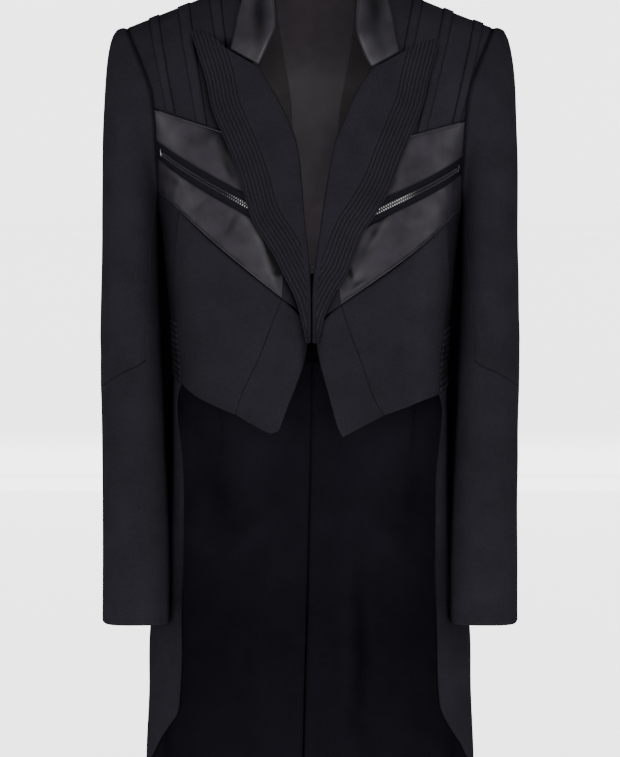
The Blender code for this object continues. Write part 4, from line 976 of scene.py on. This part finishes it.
# The back, in two halves with a seam down the middle, and the satin lining that shows inside the neck:
# lighter in the middle, darker beside it.
BACK_NECK, NAPE_FOOT = ((0, 8), (30, 6), (58, 3), (NECK_HALF_WIDTH, 0)), -50
LINING_CENTRE = {
    RIGHT: ((38, -6), (29, -65), (21, -112), (17, -200), (15, -300)),
    LEFT: ((50, -6), (43, -65), (33, -120), (26, -200), (24, -300)),
}
LINING_SIDE, LINING_WALL, LINING_DEPTH = ((83, -20), (108, -90), (108, -300)), 1.0, 3.6
for side in (RIGHT, LEFT):
    back_top = (across_at(ARMHOLE_BACK, SIDE_BACK_TOP), SIDE_BACK_TOP)
    back = Piece(side, (
        back_edge(BACK_NECK, shoulder_points()), back_edge(((0, WAIST_HEIGHT), SIDE_BACK[-1])),
        back_edge((BACK_NECK[0], (0, NAPE_FOOT)), ((0, NAPE_FOOT), (0, WAIST_HEIGHT))),
        back_edge(armhole_part(ARMHOLE_BACK, SHOULDER_TIP[1], SIDE_BACK_TOP),
                  (back_top, *SIDE_BACK[:3]), SIDE_BACK[2:])), spacing=4.0)
    soft = 0.6 * waves(back.points, 70, 31) * ease(back.from_rim / 20)
    cloth(f"{side}_back_cloth", back, CLOTH_WALL, wool, wool_inside, "wool", relief=soft, node=f"{side}_back")
centre_edges = {side: [back_place(*point) for point in LINING_CENTRE[side]] for side in (RIGHT, LEFT)}
right_edge = Edge(body_point, [(360 - angle, height) for angle, height in centre_edges[RIGHT]])
left_edge = Edge(body_point, centre_edges[LEFT])
middle = Piece(LEFT, (
    Edge(body_point, (right_edge.fine[0], left_edge.fine[0])),
    Edge(body_point, (right_edge.fine[-1], left_edge.fine[-1])), right_edge, left_edge), out=-LINING_DEPTH)
cloth("lining_centre_cloth", middle, LINING_WALL, lining, lining, "lining", turn=0.5, node="lining_centre")
for side in (RIGHT, LEFT):
    top, foot = LINING_CENTRE[side][0], LINING_CENTRE[side][-1]
    flank = Piece(side, (
        back_edge((top, LINING_SIDE[0])), back_edge((foot, LINING_SIDE[-1])),
        Edge(body_point, centre_edges[side]), back_edge(LINING_SIDE)), out=-LINING_DEPTH)
    cloth(f"{side}_lining_cloth", flank, LINING_WALL, lining_dark, lining_dark, "lining_dark", turn=0.5,
          node=f"{side}_lining")


# The two long tails, cut in one piece each from the waist seam to the rounded hem. The wearer's left one
# steps in behind the right at the vent, and soft folds grow towards the hem.
TAIL_EDGE = {
    RIGHT: ((133, -417), (138, -430), (138, -452), (134, -480), (131, -520), (131, -600), (131, -681),
            (133, -742), (136, -758), (143, -769), (152, -785), (160, -804)),
    LEFT: ((134, -428), (138, -444), (135, -476), (131, -510), (130, -560), (129, -640), (130, -690),
           (132, -742), (136, -758), (144, -774), (152, -788), (160, -806)),
}
TAIL_SIDE_HEIGHT = -826
TAIL_HEM = ((90, -826), (108, -848), (125, -866), (142, -876), (180, HEM_HEIGHT))
VENT_EDGE, VENT_DRIFT = {RIGHT: -22, LEFT: 2}, {RIGHT: 0, LEFT: -11}
VENT_STEP, VENT_BLEND = 2.8, (0.1, 0.16)
TAIL_CREASES = ((88, -562, 20, 16, 60, -3.0), (86, -545, 26, 6, 100, 1.4), (52, -700, 70, 12, 92, 3.0),
                (90, -435, 36, 1.6, 92, 0.7), (60, -560, 60, 20, 80, -1.5), (110, -640, 50, 16, 85, 1.5))
# The same columns, with the painted shade in them: a dart's end, a bend below it, and one long fold.
# Below 0 it is painted light.
TAIL_SHADOWS = {
    RIGHT: ((95, -462, 26, 1.8, 90, 0.55), (97, -536, 46, 10, 78, 0.22), (72, -571, 25, 9, -38, 0.12),
            (68, -588, 26, 7, -38, -0.15), (118, -586, 22, 7, 46, -0.12)),
    LEFT: ((111, -462, 26, 1.8, 90, 0.55), (108, -536, 46, 10, 86, 0.22), (90, -571, 23, 9, -45, 0.12),
           (82, -590, 26, 7, -45, -0.15), (51.6, -700, 84, 7.5, 90, 0.3), (40, -690, 80, 8, 90, -0.12)),
}
# Painted shade that the sleeve leaves on each tail: across, where it starts and is full; in height, where it ends
# below the cuff. Then painted light at the tails' tops, painted shade at their feet and painted light on the strip
# beside the front edge.
SLEEVE_SIDE, CUFF_FOOT = (139, 144), (-668, -656)
TAIL_TOP_PAINTED_LIGHT, TAIL_FOOT_SHADE, TAIL_EDGE_PAINTED_LIGHT = 0.55, 0.28, 0.45


def painted_sleeve_shade(panel):
    """Painted shade on a tail's front where the sleeve hangs before it, and painted light on the strip by its edge."""
    across, height = panel.points[..., 0], panel.points[..., 2]
    dark = ease((across - SLEEVE_SIDE[0]) / (SLEEVE_SIDE[1] - SLEEVE_SIDE[0]))
    above = ease((height - CUFF_FOOT[0]) / (CUFF_FOOT[1] - CUFF_FOOT[0]))
    light = TAIL_EDGE_PAINTED_LIGHT * ease((height + 660) / 90)
    return ((0.85 + light) * dark * above - light) * ease((100 - panel.places[..., 0]) / 10)


for side in (RIGHT, LEFT):
    vent_top = (VENT_EDGE[side], WAIST_HEIGHT)
    vent_foot = (VENT_EDGE[side] + VENT_DRIFT[side], HEM_HEIGHT)
    edge = [*(front_place(*place) for place in TAIL_EDGE[side]), (90, TAIL_SIDE_HEIGHT)]
    hem = [*TAIL_HEM[:-1], back_place(*vent_foot)]
    seam_foot = SIDE_FRONT[side][-1]
    waist = [back_place(*SIDE_BACK[-1]), (90, WAIST[side]), front_place(*seam_foot)]

    def step_in(u, v):
        if side == RIGHT:
            return np.zeros(np.broadcast(u, v).shape)
        return -VENT_STEP * (1 - ease((u - VENT_BLEND[0]) / VENT_BLEND[1])) + 0 * v

    tail = Piece(side, (
        Edge(body_point, [back_place(*vent_top), back_place(*SIDE_BACK[-1])], waist),
        Edge(body_point, hem[::-1]), Edge(body_point, [back_place(*vent_top), back_place(*vent_foot)]),
        Edge(body_point, edge)), spacing=4.0, out=step_in)
    soft = creased(TAIL_CREASES, tail.points[..., 0], tail.points[..., 2]) * ease((tail.points[..., 1] - 20) / 40)
    # Painted shade from the table and at the feet, painted light at the tops, and the sleeve's painted shade.
    painted_shading = creased(TAIL_SHADOWS[side], tail.points[..., 0], tail.points[..., 2]) * ease(tail.points[..., 1] / 40)
    painted_shading += TAIL_FOOT_SHADE * ease((-560 - tail.points[..., 2]) / 130) * (0.55 + 0.45 * ease(tail.points[..., 1] / 40))
    painted_shading -= TAIL_TOP_PAINTED_LIGHT * ease((tail.points[..., 2] + 545) / 90) * ease(tail.points[..., 1] / 40)
    painted_shading += painted_sleeve_shade(tail)
    cloth(f"{side}_tail_cloth", tail, CLOTH_WALL, wool, wool_inside, "wool", relief=soft, inner_relief=soft,
          node=f"{side}_tail", held="hung",
          values={"shadow": painted_shading + painted_edge_shade(tail, "first", 2.2, 0.7) + painted_edge_shade(tail, "last", 1.3, 0.7)})
# The turning of the waist seam lies inside, over the top of the left tail where it steps in.
TURNING_REACH, TURNING_RADIUS = (12, 84), 1.6
turning = Edge(body_point, [back_place(across, WAIST_HEIGHT) for across in TURNING_REACH]).at(np.linspace(0, 1, 25))
turning = body_point(turning[:, 0], turning[:, 1])
along = np.gradient(turning, axis=0)
inwards = np.stack([along[:, 1], -along[:, 0], 0 * along[:, 0]], -1)
inwards /= np.linalg.norm(inwards, axis=1, keepdims=True)
turning = turning + inwards * (CLOTH_WALL + TURNING_RADIUS * 0.9) + [0, 0, TURNING_RADIUS * 0.9]
allowance = placed("waist_seam", tube("waist", turning, TURNING_RADIUS, LEFT, 8), wool_inside)
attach(allowance, "root")


# The sleeves: one piece over the upper arm, one over the forearm below a pointed elbow seam, and one under
# the arm. They hang a little forward, and the cuffs are plain. The turnings of the armhole seam lie under it.
SLEEVE_RING_TOP, SLEEVE_SQUARENESS, CUFF_HEIGHT = -265, 2.6, -660
SLEEVE_RINGS = (
    (-265, 157.6, 216.8, 0, 60, 15), (-300, 157.2, 217.4, 1, 59, 21), (-340, 156, 218, 1, 58, 24),
    (-373, 154.8, 218.4, 0, 58, 24), (-410, 152.8, 218, -7, 58, 23), (-450, 151, 216, -20, 57, 17),
    (-490, 148.8, 214.5, -36, 56, 10), (-530, 146.2, 213, -54, 54, 0), (-570, 144.2, 212, -70, 52, 0),
    (-610, 143, 211.3, -83, 51, 0), (-645, 142.6, 211, -90, 50, 0), (-660, 143, 211, -92, 50, 0),
)
SLEEVE_FRONT_SEAM = ((-117, -2.28), (-130, -2.75), (-155, -3.2), (-160, -4.0), (-160, -4.95))
SLEEVE_BACK_SEAM = 120
ELBOW_SEAM = ((-117, -2.28), (-95, -2.36), (-70, -2.45), (-35, -2.53), (0, -2.57), (60, -2.6), (120, -2.6))
SLEEVE_SEAM_GAP, CUFF_ROUNDING = 0.5, 0.045


def armhole_line(place_of, line):
    edge = Edge(body_point, [place_of(*point) for point in armhole_part(line, SHOULDER_TIP[1], ARMPIT_HEIGHT)])
    places = edge.at(np.linspace(0, 1, 61))
    return body_point(places[:, 0], places[:, 1])


ARMHOLE_LINES = {"front": armhole_line(front_place, ARMHOLE_FRONT), "back": armhole_line(back_place, ARMHOLE_BACK)}


def sleeve_ring(angle, height):
    """Points of the sleeve's rings, for angles that start outside and turn backwards."""
    inner, outer, middle, half_depth, turned = (
        between(SLEEVE_RINGS, height, column) for column in range(1, len(SLEEVE_RINGS[0])))
    turn = np.radians(angle)
    power = 2 / SLEEVE_SQUARENESS
    across = np.sign(np.cos(turn)) * np.abs(np.cos(turn)) ** power * (outer - inner) / 2
    depth = np.sign(np.sin(turn)) * np.abs(np.sin(turn)) ** power * half_depth
    lean = np.tan(np.radians(turned)) * np.maximum(depth, 0)
    return np.stack([(inner + outer) / 2 + across - lean * (1 - np.cos(turn)) / 2, middle + depth,
                     height + 0 * turn], -1)


def sleeve_angle(angle, height):
    """Angle of the sleeve that starts at a place on the armhole."""
    table = ARMHOLE_LINES["front" if angle <= 90 else "back"]
    share = between([(z, k) for k, z in enumerate(table[:, 2])], height) / (len(table) - 1)
    return float(-180 * share if angle <= 90 else 180 * share)


def armhole_point(angle):
    share = np.abs(angle) / 180 * (len(ARMHOLE_LINES["front"]) - 1)
    steps = np.arange(len(ARMHOLE_LINES["front"]))
    found = [np.stack([np.interp(share, steps, table[:, k]) for k in range(3)], -1)
             for table in (ARMHOLE_LINES["front"], ARMHOLE_LINES["back"])]
    return np.where((angle < 0)[..., None], *found) + [SLEEVE_SEAM_GAP, 0, 0]


def sleeve_point(angle, level):
    """Points of the sleeve: its cap down to the first ring for 0 to -1, then a tenth of a metre for each 1."""
    angle, level = np.broadcast_arrays(np.asarray(angle, float), np.asarray(level, float))
    angle = (angle + 180) % 360 - 180
    below = sleeve_ring(angle, SLEEVE_RING_TOP + (np.minimum(level, -1) + 1) * 100)
    top, foot = armhole_point(angle), sleeve_ring(angle, np.full(angle.shape, float(SLEEVE_RING_TOP)))
    spread = (1 - (1 + np.clip(level, -1, 0)) ** 3) ** 0.25
    cap = np.stack([top[..., 0] + (foot[..., 0] - top[..., 0]) * spread,
                    top[..., 1] + (foot[..., 1] - top[..., 1]) * spread,
                    top[..., 2] - (foot[..., 2] - top[..., 2]) * level], -1)
    return np.where((level <= -1)[..., None], below, cap)


def cap_levels(elbow):
    """Levels from the armhole to the elbow, close together where the cap rounds over."""
    cap = -np.linspace(0, 0.9, 34) ** 2.6
    return np.concatenate([cap, np.linspace(cap[-1], elbow, 24)[1:]])


# Height, angle, length down, width round, turn and depth of soft creases on the sleeve.
SLEEVE_CREASES = ((-60, -372, 40, 7, 60, -1.2), (-40, -398, 46, 8, 55, 0.9), (-95, -385, 30, 6, 110, -1.0),
                  (30, -380, 50, 9, 100, -1.3), (55, -350, 50, 10, 80, 1.0), (-30, -520, 60, 12, 85, 0.6),
                  (-75, -600, 50, 10, 95, -0.6), (-60, -300, 60, 14, 85, -0.6), (20, -250, 60, 16, 90, 0.6))
ALLOWANCE_RADIUS, ALLOWANCE_DEPTH, UNDER_SHADE, UNDER_ANGLES = 1.3, 1.9, 0.75, (148, 180)
for side in (RIGHT, LEFT):
    turning = np.vstack([ARMHOLE_LINES["front"], ARMHOLE_LINES["back"][-2:0:-1]])
    inwards = turning.mean(axis=0) - turning
    turning = turning + inwards / np.linalg.norm(inwards, axis=1, keepdims=True) * ALLOWANCE_DEPTH
    allowance = placed(f"{side}_armhole_seam", tube("armhole", turning, ALLOWANCE_RADIUS, side, 8, True), wool_inside)
    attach(allowance, "root")
    cuff = (CUFF_HEIGHT - SLEEVE_RING_TOP) / 100 - 1
    chest = [SATIN_TOP[side][-1], ZIP_TOP[side][-1], ZIP_BOTTOM[side][-1], SATIN_BOTTOM[side][-1]]
    front_start = sleeve_angle(0, chest[-1])
    back_start = sleeve_angle(180, SIDE_BACK_TOP)
    over = np.stack([np.linspace(front_start, back_start, 61), np.zeros(61)], -1)
    under = np.stack([np.linspace(back_start, front_start + 360, 41), np.zeros(41)], -1)

    def seam(top, elbow):
        levels = cap_levels(elbow[1])
        return np.stack([top + (elbow[0] - top) * ease(levels / elbow[1]), levels], -1)

    front_upper, back_upper = seam(front_start, ELBOW_SEAM[0]), seam(back_start, ELBOW_SEAM[-1])
    back_lower = ((SLEEVE_BACK_SEAM, ELBOW_SEAM[-1][1]), (SLEEVE_BACK_SEAM, cuff))
    hem = [(angle, cuff + CUFF_ROUNDING * math.exp(-(angle / 24) ** 2))
           for angle in (SLEEVE_FRONT_SEAM[-1][0], -110, -60, -30, 0, 30, 60, SLEEVE_BACK_SEAM)]
    under_hem = ((SLEEVE_BACK_SEAM, cuff), (SLEEVE_FRONT_SEAM[-1][0] + 360, cuff))
    front_whole = [np.array(part) + [360, 0] for part in (front_upper, SLEEVE_FRONT_SEAM)]
    pieces = {
        "upper": (Edge(sleeve_point, over), Edge(sleeve_point, ELBOW_SEAM),
                  Edge(sleeve_point, front_upper), Edge(sleeve_point, back_upper)),
        "lower": (Edge(sleeve_point, ELBOW_SEAM), Edge(sleeve_point, hem),
                  Edge(sleeve_point, SLEEVE_FRONT_SEAM), Edge(sleeve_point, back_lower)),
        "under": (Edge(sleeve_point, under), Edge(sleeve_point, under_hem),
                  Edge(sleeve_point, back_upper, back_lower), Edge(sleeve_point, *front_whole)),
    }
    for name, edges in pieces.items():
        part = Piece(side, edges, surface=sleeve_point, spacing=3.5)
        angles = (part.places[..., 0] + 180) % 360 - 180
        soft = creased(SLEEVE_CREASES, angles, part.points[..., 2], 4.0)
        turn = 1.2 if name == "upper" else 0.7
        # Painted shade where the sleeve turns in towards the body, and along its top seam.
        shade = UNDER_SHADE * ease((np.abs(angles) - UNDER_ANGLES[0]) / (UNDER_ANGLES[1] - UNDER_ANGLES[0]))
        shade = np.maximum(shade, painted_edge_shade(part, "top", *((1.4, 0.3) if name == "lower" else (2.6, 0.7))))
        cloth(f"{side}_sleeve_{name}_cloth", part, CLOTH_WALL, wool, wool_inside, "wool", turn=turn,
              relief=soft * ease(part.from_rim / 10), node=f"{side}_sleeve_{name}", held="hung",
              values={"shadow": shade})
        if name == "lower":
            sew(f"{side}_elbow_stitches", [part.line("top", 4.5)], side)


# The peak lapels: a wool leaf that folds over at the roll line and stands off the front at its edge.
# Eight rows of topstitching run beside the outer edge, each in its own shallow groove.
LAPEL_TOP = {
    RIGHT: ((52, -97), (81, -80), (94, -69), (107, -61), (120, -59)),
    LEFT: ((62, -99), (91, -83), (105, -76), (117, -71), (130, -68)),
}
LAPEL_WALL, LAPEL_STAND_AT_ROLL, LAPEL_LIFT = 2.0, 2.0, 0.7
LAPEL_STAND_AT_EDGE = (6.2, 5.2, 4.4, 3.5, 3.0)
LAPEL_TURNING, LAPEL_TURNING_DEPTH = 13, 4.2
ROW_COUNT, ROW_START, ROW_PITCH = 8, 2.3, 3.9
# Painted shade in each row's groove and painted light on the ridge between rows.
ROW_DARK, RIDGE_PAINTED_LIGHT = 0.42, 0.1
lapel_wool, shader, place = finish("lapel_wool", 0.82, 0.0)
ribs, across, down = weave(place, TWILL_PITCH)
away = place.value("edge")
phase = away.math("PINGPONG", away - ROW_START, ROW_PITCH / 2)
rows_end = ROW_START + ROW_PITCH * (ROW_COUNT - 0.5)
groove = (1.0 - phase.step(0.1, 1.0)) * (1.0 - away.step(rows_end, rows_end + 0.6)) * away.step(0.6, 1.2)
mottle = place.noise(900.0, 3.0)
fibres = mottle * 0.6 + place.noise(28.0, 3.0) * 0.25 + ribs * 0.15
ridge = phase.step(1.0, 1.9) * (1.0 - away.step(rows_end, rows_end + 0.6)) * away.step(0.6, 1.2)
cloth_colour = fibres.step(0.25, 0.75).colours((0.0096, 0.0088, 0.0118), (0.0216, 0.0198, 0.0258))
drive(shader, "Base Color", cloth_colour.dimmed(groove * ROW_DARK - ridge * RIDGE_PAINTED_LIGHT + place.value("shadow")))
drive(shader, "Roughness", mottle * 0.14 + 0.75)
relief(shader, (ribs * 0.5 + mottle * 0.9) * 0.12 - groove, 0.0005, 1.0)


def grid_normals(points):
    along = np.gradient(points, axis=1)
    down = np.gradient(points, axis=0)
    normal = np.cross(down, along)
    return normal / np.maximum(np.linalg.norm(normal, axis=-1, keepdims=True), 1e-9)


class Leaf(Piece):
    """A piece from a ready grid of points."""

    def __init__(self, side, points):
        self.side, self.points = side, points
        self.normals = grid_normals(points)
        self.u, self.v = np.linspace(0, 1, points.shape[1]), np.linspace(0, 1, points.shape[0])
        self.measure()


LEAF_COLUMNS, LEAF_ROWS, FOLDED_COLUMNS = 54, 120, 13
for side in (RIGHT, LEFT):
    rows = np.unique(np.concatenate([np.linspace(0, 1, LEAF_ROWS), [0.001, 0.003, 0.006, 0.994, 0.997, 0.999]]))
    columns = 1 - (1 - np.linspace(0, 1, LEAF_COLUMNS)) ** 1.25
    columns = np.unique(np.concatenate([columns, [0.985, 0.992, 0.997]]))
    roll, edge = front_edge(ROLL_LINE[side]).at(rows), front_edge(LAPEL_EDGE[side]).at(rows)
    top, foot = front_edge(LAPEL_TOP[side]), front_edge((ROLL_LINE[side][-1], LAPEL_EDGE[side][-1]))
    roll_points, edge_points = body_point(*roll.T), body_point(*edge.T)
    width = np.linalg.norm(edge_points - roll_points, axis=1)
    outwards = (edge_points - roll_points) / width[:, None]
    normal = normals_of(body_point, roll)
    fold_radius = (LAPEL_STAND_AT_ROLL + LAPEL_TURNING_DEPTH) / 2
    fold_middle = (LAPEL_STAND_AT_ROLL - LAPEL_TURNING_DEPTH) / 2
    centre = roll_points + outwards * (fold_radius + LAPEL_WALL / 2) + normal * fold_middle
    turning = np.minimum(LAPEL_TURNING, width)[:, None]
    grid = [centre + outwards * turning * share - normal * fold_radius for share in (1, 0.66, 0.33)]
    for swing in np.linspace(-math.pi / 2, math.pi / 2, 9):
        grid.append(centre + (normal * math.sin(swing) - outwards * math.cos(swing)) * fold_radius)
    start = np.minimum((fold_radius + LAPEL_WALL / 2) / width, 0.5)
    at_edge = between(list(enumerate(LAPEL_STAND_AT_EDGE)), rows * (len(LAPEL_STAND_AT_EDGE) - 1))
    tops, foots = top.at(np.linspace(0, 1, 200)), foot.at(np.linspace(0, 1, 200))
    for share in columns[1:]:
        u = start + (1 - start) * share
        picks = [np.stack([np.interp(u, np.linspace(0, 1, 200), line[:, k]) for k in (0, 1)], -1)
                 for line in (tops, foots)]
        a, b = u[:, None], rows[:, None]
        corners = (1 - a) * (1 - b) * tops[0] + a * (1 - b) * tops[-1] + (1 - a) * b * foots[0] + a * b * foots[-1]
        places = (1 - a) * roll + a * edge + (1 - b) * picks[0] + b * picks[1] - corners
        stand = LAPEL_STAND_AT_ROLL + (at_edge - LAPEL_STAND_AT_ROLL) * u ** LAPEL_LIFT
        grid.append(body_point(*places.T) + normals_of(body_point, places) * stand[:, None])
    leaf = Leaf(side, np.stack(grid, 1))
    leaf.points = leaf.points + leaf.normals * (LAPEL_WALL / 2)
    away = away_from(leaf.points, leaf.points[:, -1])
    away[:, :FOLDED_COLUMNS] = 99.0
    cloth(f"{side}_lapel_cloth", leaf, LAPEL_WALL, lapel_wool, wool, "wool", turn=0.9,
          node=f"{side}_lapel", held="folded", values={"edge": away})
    shown = leaf.moved(leaf.raised + 0.05)[:, :FOLDED_COLUMNS - 1:-1]
    normals, away = leaf.normals[:, :FOLDED_COLUMNS - 1:-1], away[:, :FOLDED_COLUMNS - 1:-1]
    lines = []
    for row_away in ROW_START + ROW_PITCH * np.arange(ROW_COUNT):
        picks = [(away[j], shown[j], normals[j]) for j in range(4, len(away)) if away[j].max() > row_away + 1]
        lines.append(tuple(np.array([[np.interp(row_away, run, values[:, k]) for k in range(3)]
                                     for run, *both in picks for values in (both[kind],)]) for kind in (0, 1)))
    sew(f"{side}_lapel_stitches", lines, side)


# The satin collar, one piece: its stand rises from the neck seam, folds over and falls to its edge, and at
# the front it meets the lapels at the gorge.
COLLAR_WALL, COLLAR_FOLD_RADIUS, COLLAR_FALL = 2.2, 2.3, ((0.35, 0.8), (0.7, 0.6))
COLLAR_FRONT = {
    RIGHT: (
        ((52, -115.5, -95.5), (81, -111, -78), (54.3, -109.5, -93.5)),
        ((42, -114, -72), (77, -107, -62), (62, -105, -68)),
        ((35, -108, -53), (74, -100, -44), (66.5, -95, -48)),
        ((38, -91, -26), (70, -84, -23), (69, -75, -25)),
    ),
    LEFT: (
        ((62, -114, -97.5), (91, -108.5, -81), (63.6, -108.5, -95.5)),
        ((54, -113, -80), (88, -105, -68), (67.4, -104, -72)),
        ((47, -109, -58), (84, -97, -45), (70.5, -95, -50)),
        ((49, -92, -28), (79, -81, -23), (71, -76, -25)),
    ),
}
COLLAR_BACK = (
    ((50, -55, 9), (78, -54, -11), (70, -38, -3)),
    ((56, -14, 32), (84, -14, 0), (70, -8, 4)),
    ((53, 24, 43), (80, 30, -3), (64, 15, 7)),
    ((34, 52, 47), (52, 61, -9), (40, 36, 11)),
    ((0, 64, 48), (0, 74, -2), (0, 54.5, 14)),
)
# Across, height, length, width, turn and share of the soft trough down each front of the collar.
COLLAR_TROUGHS = ((-51, -42, 34, 6.5, 88, 1.0), (-56, -88, 12, 5, 60, 0.25),
                  (66, -36, 30, 8.5, 92, 0.9), (72, -78, 14, 5, 110, 0.25))
# Painted shade over the whole collar, in its troughs and along its rims, and a painted highlight along the fold.
COLLAR_TROUGH_DEPTH, COLLAR_SHADE, COLLAR_TROUGH_SHADE, COLLAR_FOLD_HIGHLIGHT = 1.2, 0.2, 0.66, 0.1
stations = []
for side in (RIGHT, LEFT):
    half = np.array([*COLLAR_FRONT[side], *COLLAR_BACK], float) * [SIGN[side], 1, 1]
    stations += list(half if side == RIGHT else half[-2::-1])
stations = np.array(stations)
lines = [through(stations[:, column], 9) for column in range(3)]
fold, edge, seam_line = lines


def unit(vectors):
    return vectors / np.linalg.norm(vectors, axis=-1, keepdims=True)


up = unit(fold - (edge + seam_line) / 2)
over = (edge - seam_line) - up * np.sum((edge - seam_line) * up, -1, keepdims=True)
over = unit(over)
centre = fold - up * COLLAR_FOLD_RADIUS
stand_top = centre - over * COLLAR_FOLD_RADIUS
grid = [seam_line + (stand_top - seam_line) * share for share in (0, 0.03, 0.1, 0.3, 0.5, 0.75)]
for swing in np.linspace(-math.pi / 2, math.pi / 2, 9):
    grid.append(centre + (up * math.cos(swing) + over * math.sin(swing)) * COLLAR_FOLD_RADIUS)
fall_top = grid[-1]
swell_rows = ((0, 0), *COLLAR_FALL, (1, 0))
for share in (0.06, 0.14, 0.24, 0.35, 0.48, 0.6, 0.72, 0.84, 0.93, 0.97, 0.99, 1.0):
    swell = float(np.interp(share, [row[0] for row in swell_rows], [row[1] for row in swell_rows]))
    grid.append(fall_top + (edge - fall_top) * share + over * swell)
collar = Leaf(LEFT, np.stack(grid, 1))
collar.points = collar.points + collar.normals * (COLLAR_WALL / 2)
fall = ease((np.arange(len(grid)) - 13) / 3)[None, :]
troughs = creased(COLLAR_TROUGHS, collar.points[..., 0], collar.points[..., 2], 1.0) * fall
soft = 0.4 * waves(collar.points, 24, 77) * ease(collar.from_rim / 8)
cloth("collar_cloth", collar, COLLAR_WALL, satin, satin, "satin", turn=0.9, node="collar", held="folded",
      relief=soft - COLLAR_TROUGH_DEPTH * troughs * ease(collar.from_rim / 6),
      values={"shadow": np.clip(COLLAR_SHADE + COLLAR_TROUGH_SHADE * troughs + painted_edge_shade(collar, "last", 1.3, 0.5)
                                + painted_edge_shade(collar, "top", 1.3, 0.5) + painted_edge_shade(collar, "bottom", 1.3, 0.5)
                                - COLLAR_FOLD_HIGHLIGHT * np.exp(-((np.arange(len(grid)) - 14) / 1.6) ** 2), -0.5, 0.9)})


# The hook and eye of black wire that hold the fronts together at the foot of the neckline.
HOOK_HEIGHT, HOOK_ACROSS, HOOK_SET_BACK, HOOK_WIRE, EYE_RADIUS = -299, 2.5, 1.0, 0.5, 1.9
HOOK_PATH = ((2.2, 1.7), (0.7, 1.7), (0.1, 1.2), (0, 0), (0.1, -1.2), (0.7, -1.8), (1.9, -2.0))
hook_metal, shader, place = finish("hook_metal", 0.5, 0.2)
drive(shader, "Base Color", place.noise(900.0).colours((0.008, 0.008, 0.010), (0.020, 0.020, 0.023)))
middle = body_point(*front_place(HOOK_ACROSS, HOOK_HEIGHT)) + [0, HOOK_SET_BACK, 0]
turns = math.tau * np.arange(24) / 24
ring = middle + np.stack([np.cos(turns), 0 * turns, np.sin(turns)], -1) * EYE_RADIUS
path = through(HOOK_PATH, 6)
bent = middle + np.stack([path[:, 0], path[:, 1], 0 * path[:, 0]], -1)
for name, mesh in (("front_eye", tube("eye", ring, HOOK_WIRE, LEFT, 8, True)),
                   ("front_hook", tube("hook", bent, HOOK_WIRE, LEFT, 8))):
    made = placed(f"{name}_wire", mesh, hook_metal)
    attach(made, "root")
    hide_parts(name)


# The room: a pale floor that curves up behind, an even white surround, and large soft lamps.
floor_height = cad_box[0][2] - 0.004
profile = [(-12, 0), (9, 0), (10, 0.25), (10.6, 1.0), (10.8, 2.0), (10.8, 9)]
profile = through(profile, 8)
vertices = [(x, y, floor_height + z) for y, z in profile for x in (-12, 12)]
faces = [(2 * k, 2 * k + 1, 2 * k + 3, 2 * k + 2) for k in range(len(profile) - 1)]
mesh = bpy.data.meshes.new("floor")
mesh.from_pydata(vertices, [], faces)
mesh.shade_smooth()
pale, shader, place = finish("pale_floor", 0.9, 0.2)
shader.inputs["Base Color"].default_value = (0.3, 0.3, 0.3, 1)
far = place.split(1).step(-1.0, 0.6)
drive(shader, "Emission Color", far.colours((0, 0, 0), (1, 1, 1)))
shader.inputs["Emission Strength"].default_value = 3.1
placed("floor", mesh, pale)
world = bpy.data.worlds.new("room")
bpy.context.scene.world = world
world.use_nodes = True
world.node_tree.nodes["Background"].inputs["Color"].default_value = (1, 1, 1, 1)
world.node_tree.nodes["Background"].inputs["Strength"].default_value = 0.35
# Name, place, width, height and watts of each lamp. All face the middle of the jacket.
for name, spot, wide, high, watts in (
        ("key", (1.1, -3.6, 0.5), 1.3, 1.3, 60.0), ("fill", (-1.3, -3.5, 0.1), 1.3, 1.3, 44.0),
        ("front", (0.0, -4.4, -0.35), 1.0, 1.0, 66.0), ("top", (0.0, -0.8, 2.2), 1.6, 1.2, 6.0)):
    lamp = bpy.data.objects.new(name, bpy.data.lights.new(name, "AREA"))
    lamp.data.shape, lamp.data.size, lamp.data.size_y, lamp.data.energy = "RECTANGLE", wide, high, watts
    lamp.location = spot
    lamp.rotation_euler = (Vector(spot) - Vector((0, 0, -0.35))).to_track_quat("Z", "Y").to_euler()
    bpy.context.scene.collection.objects.link(lamp)
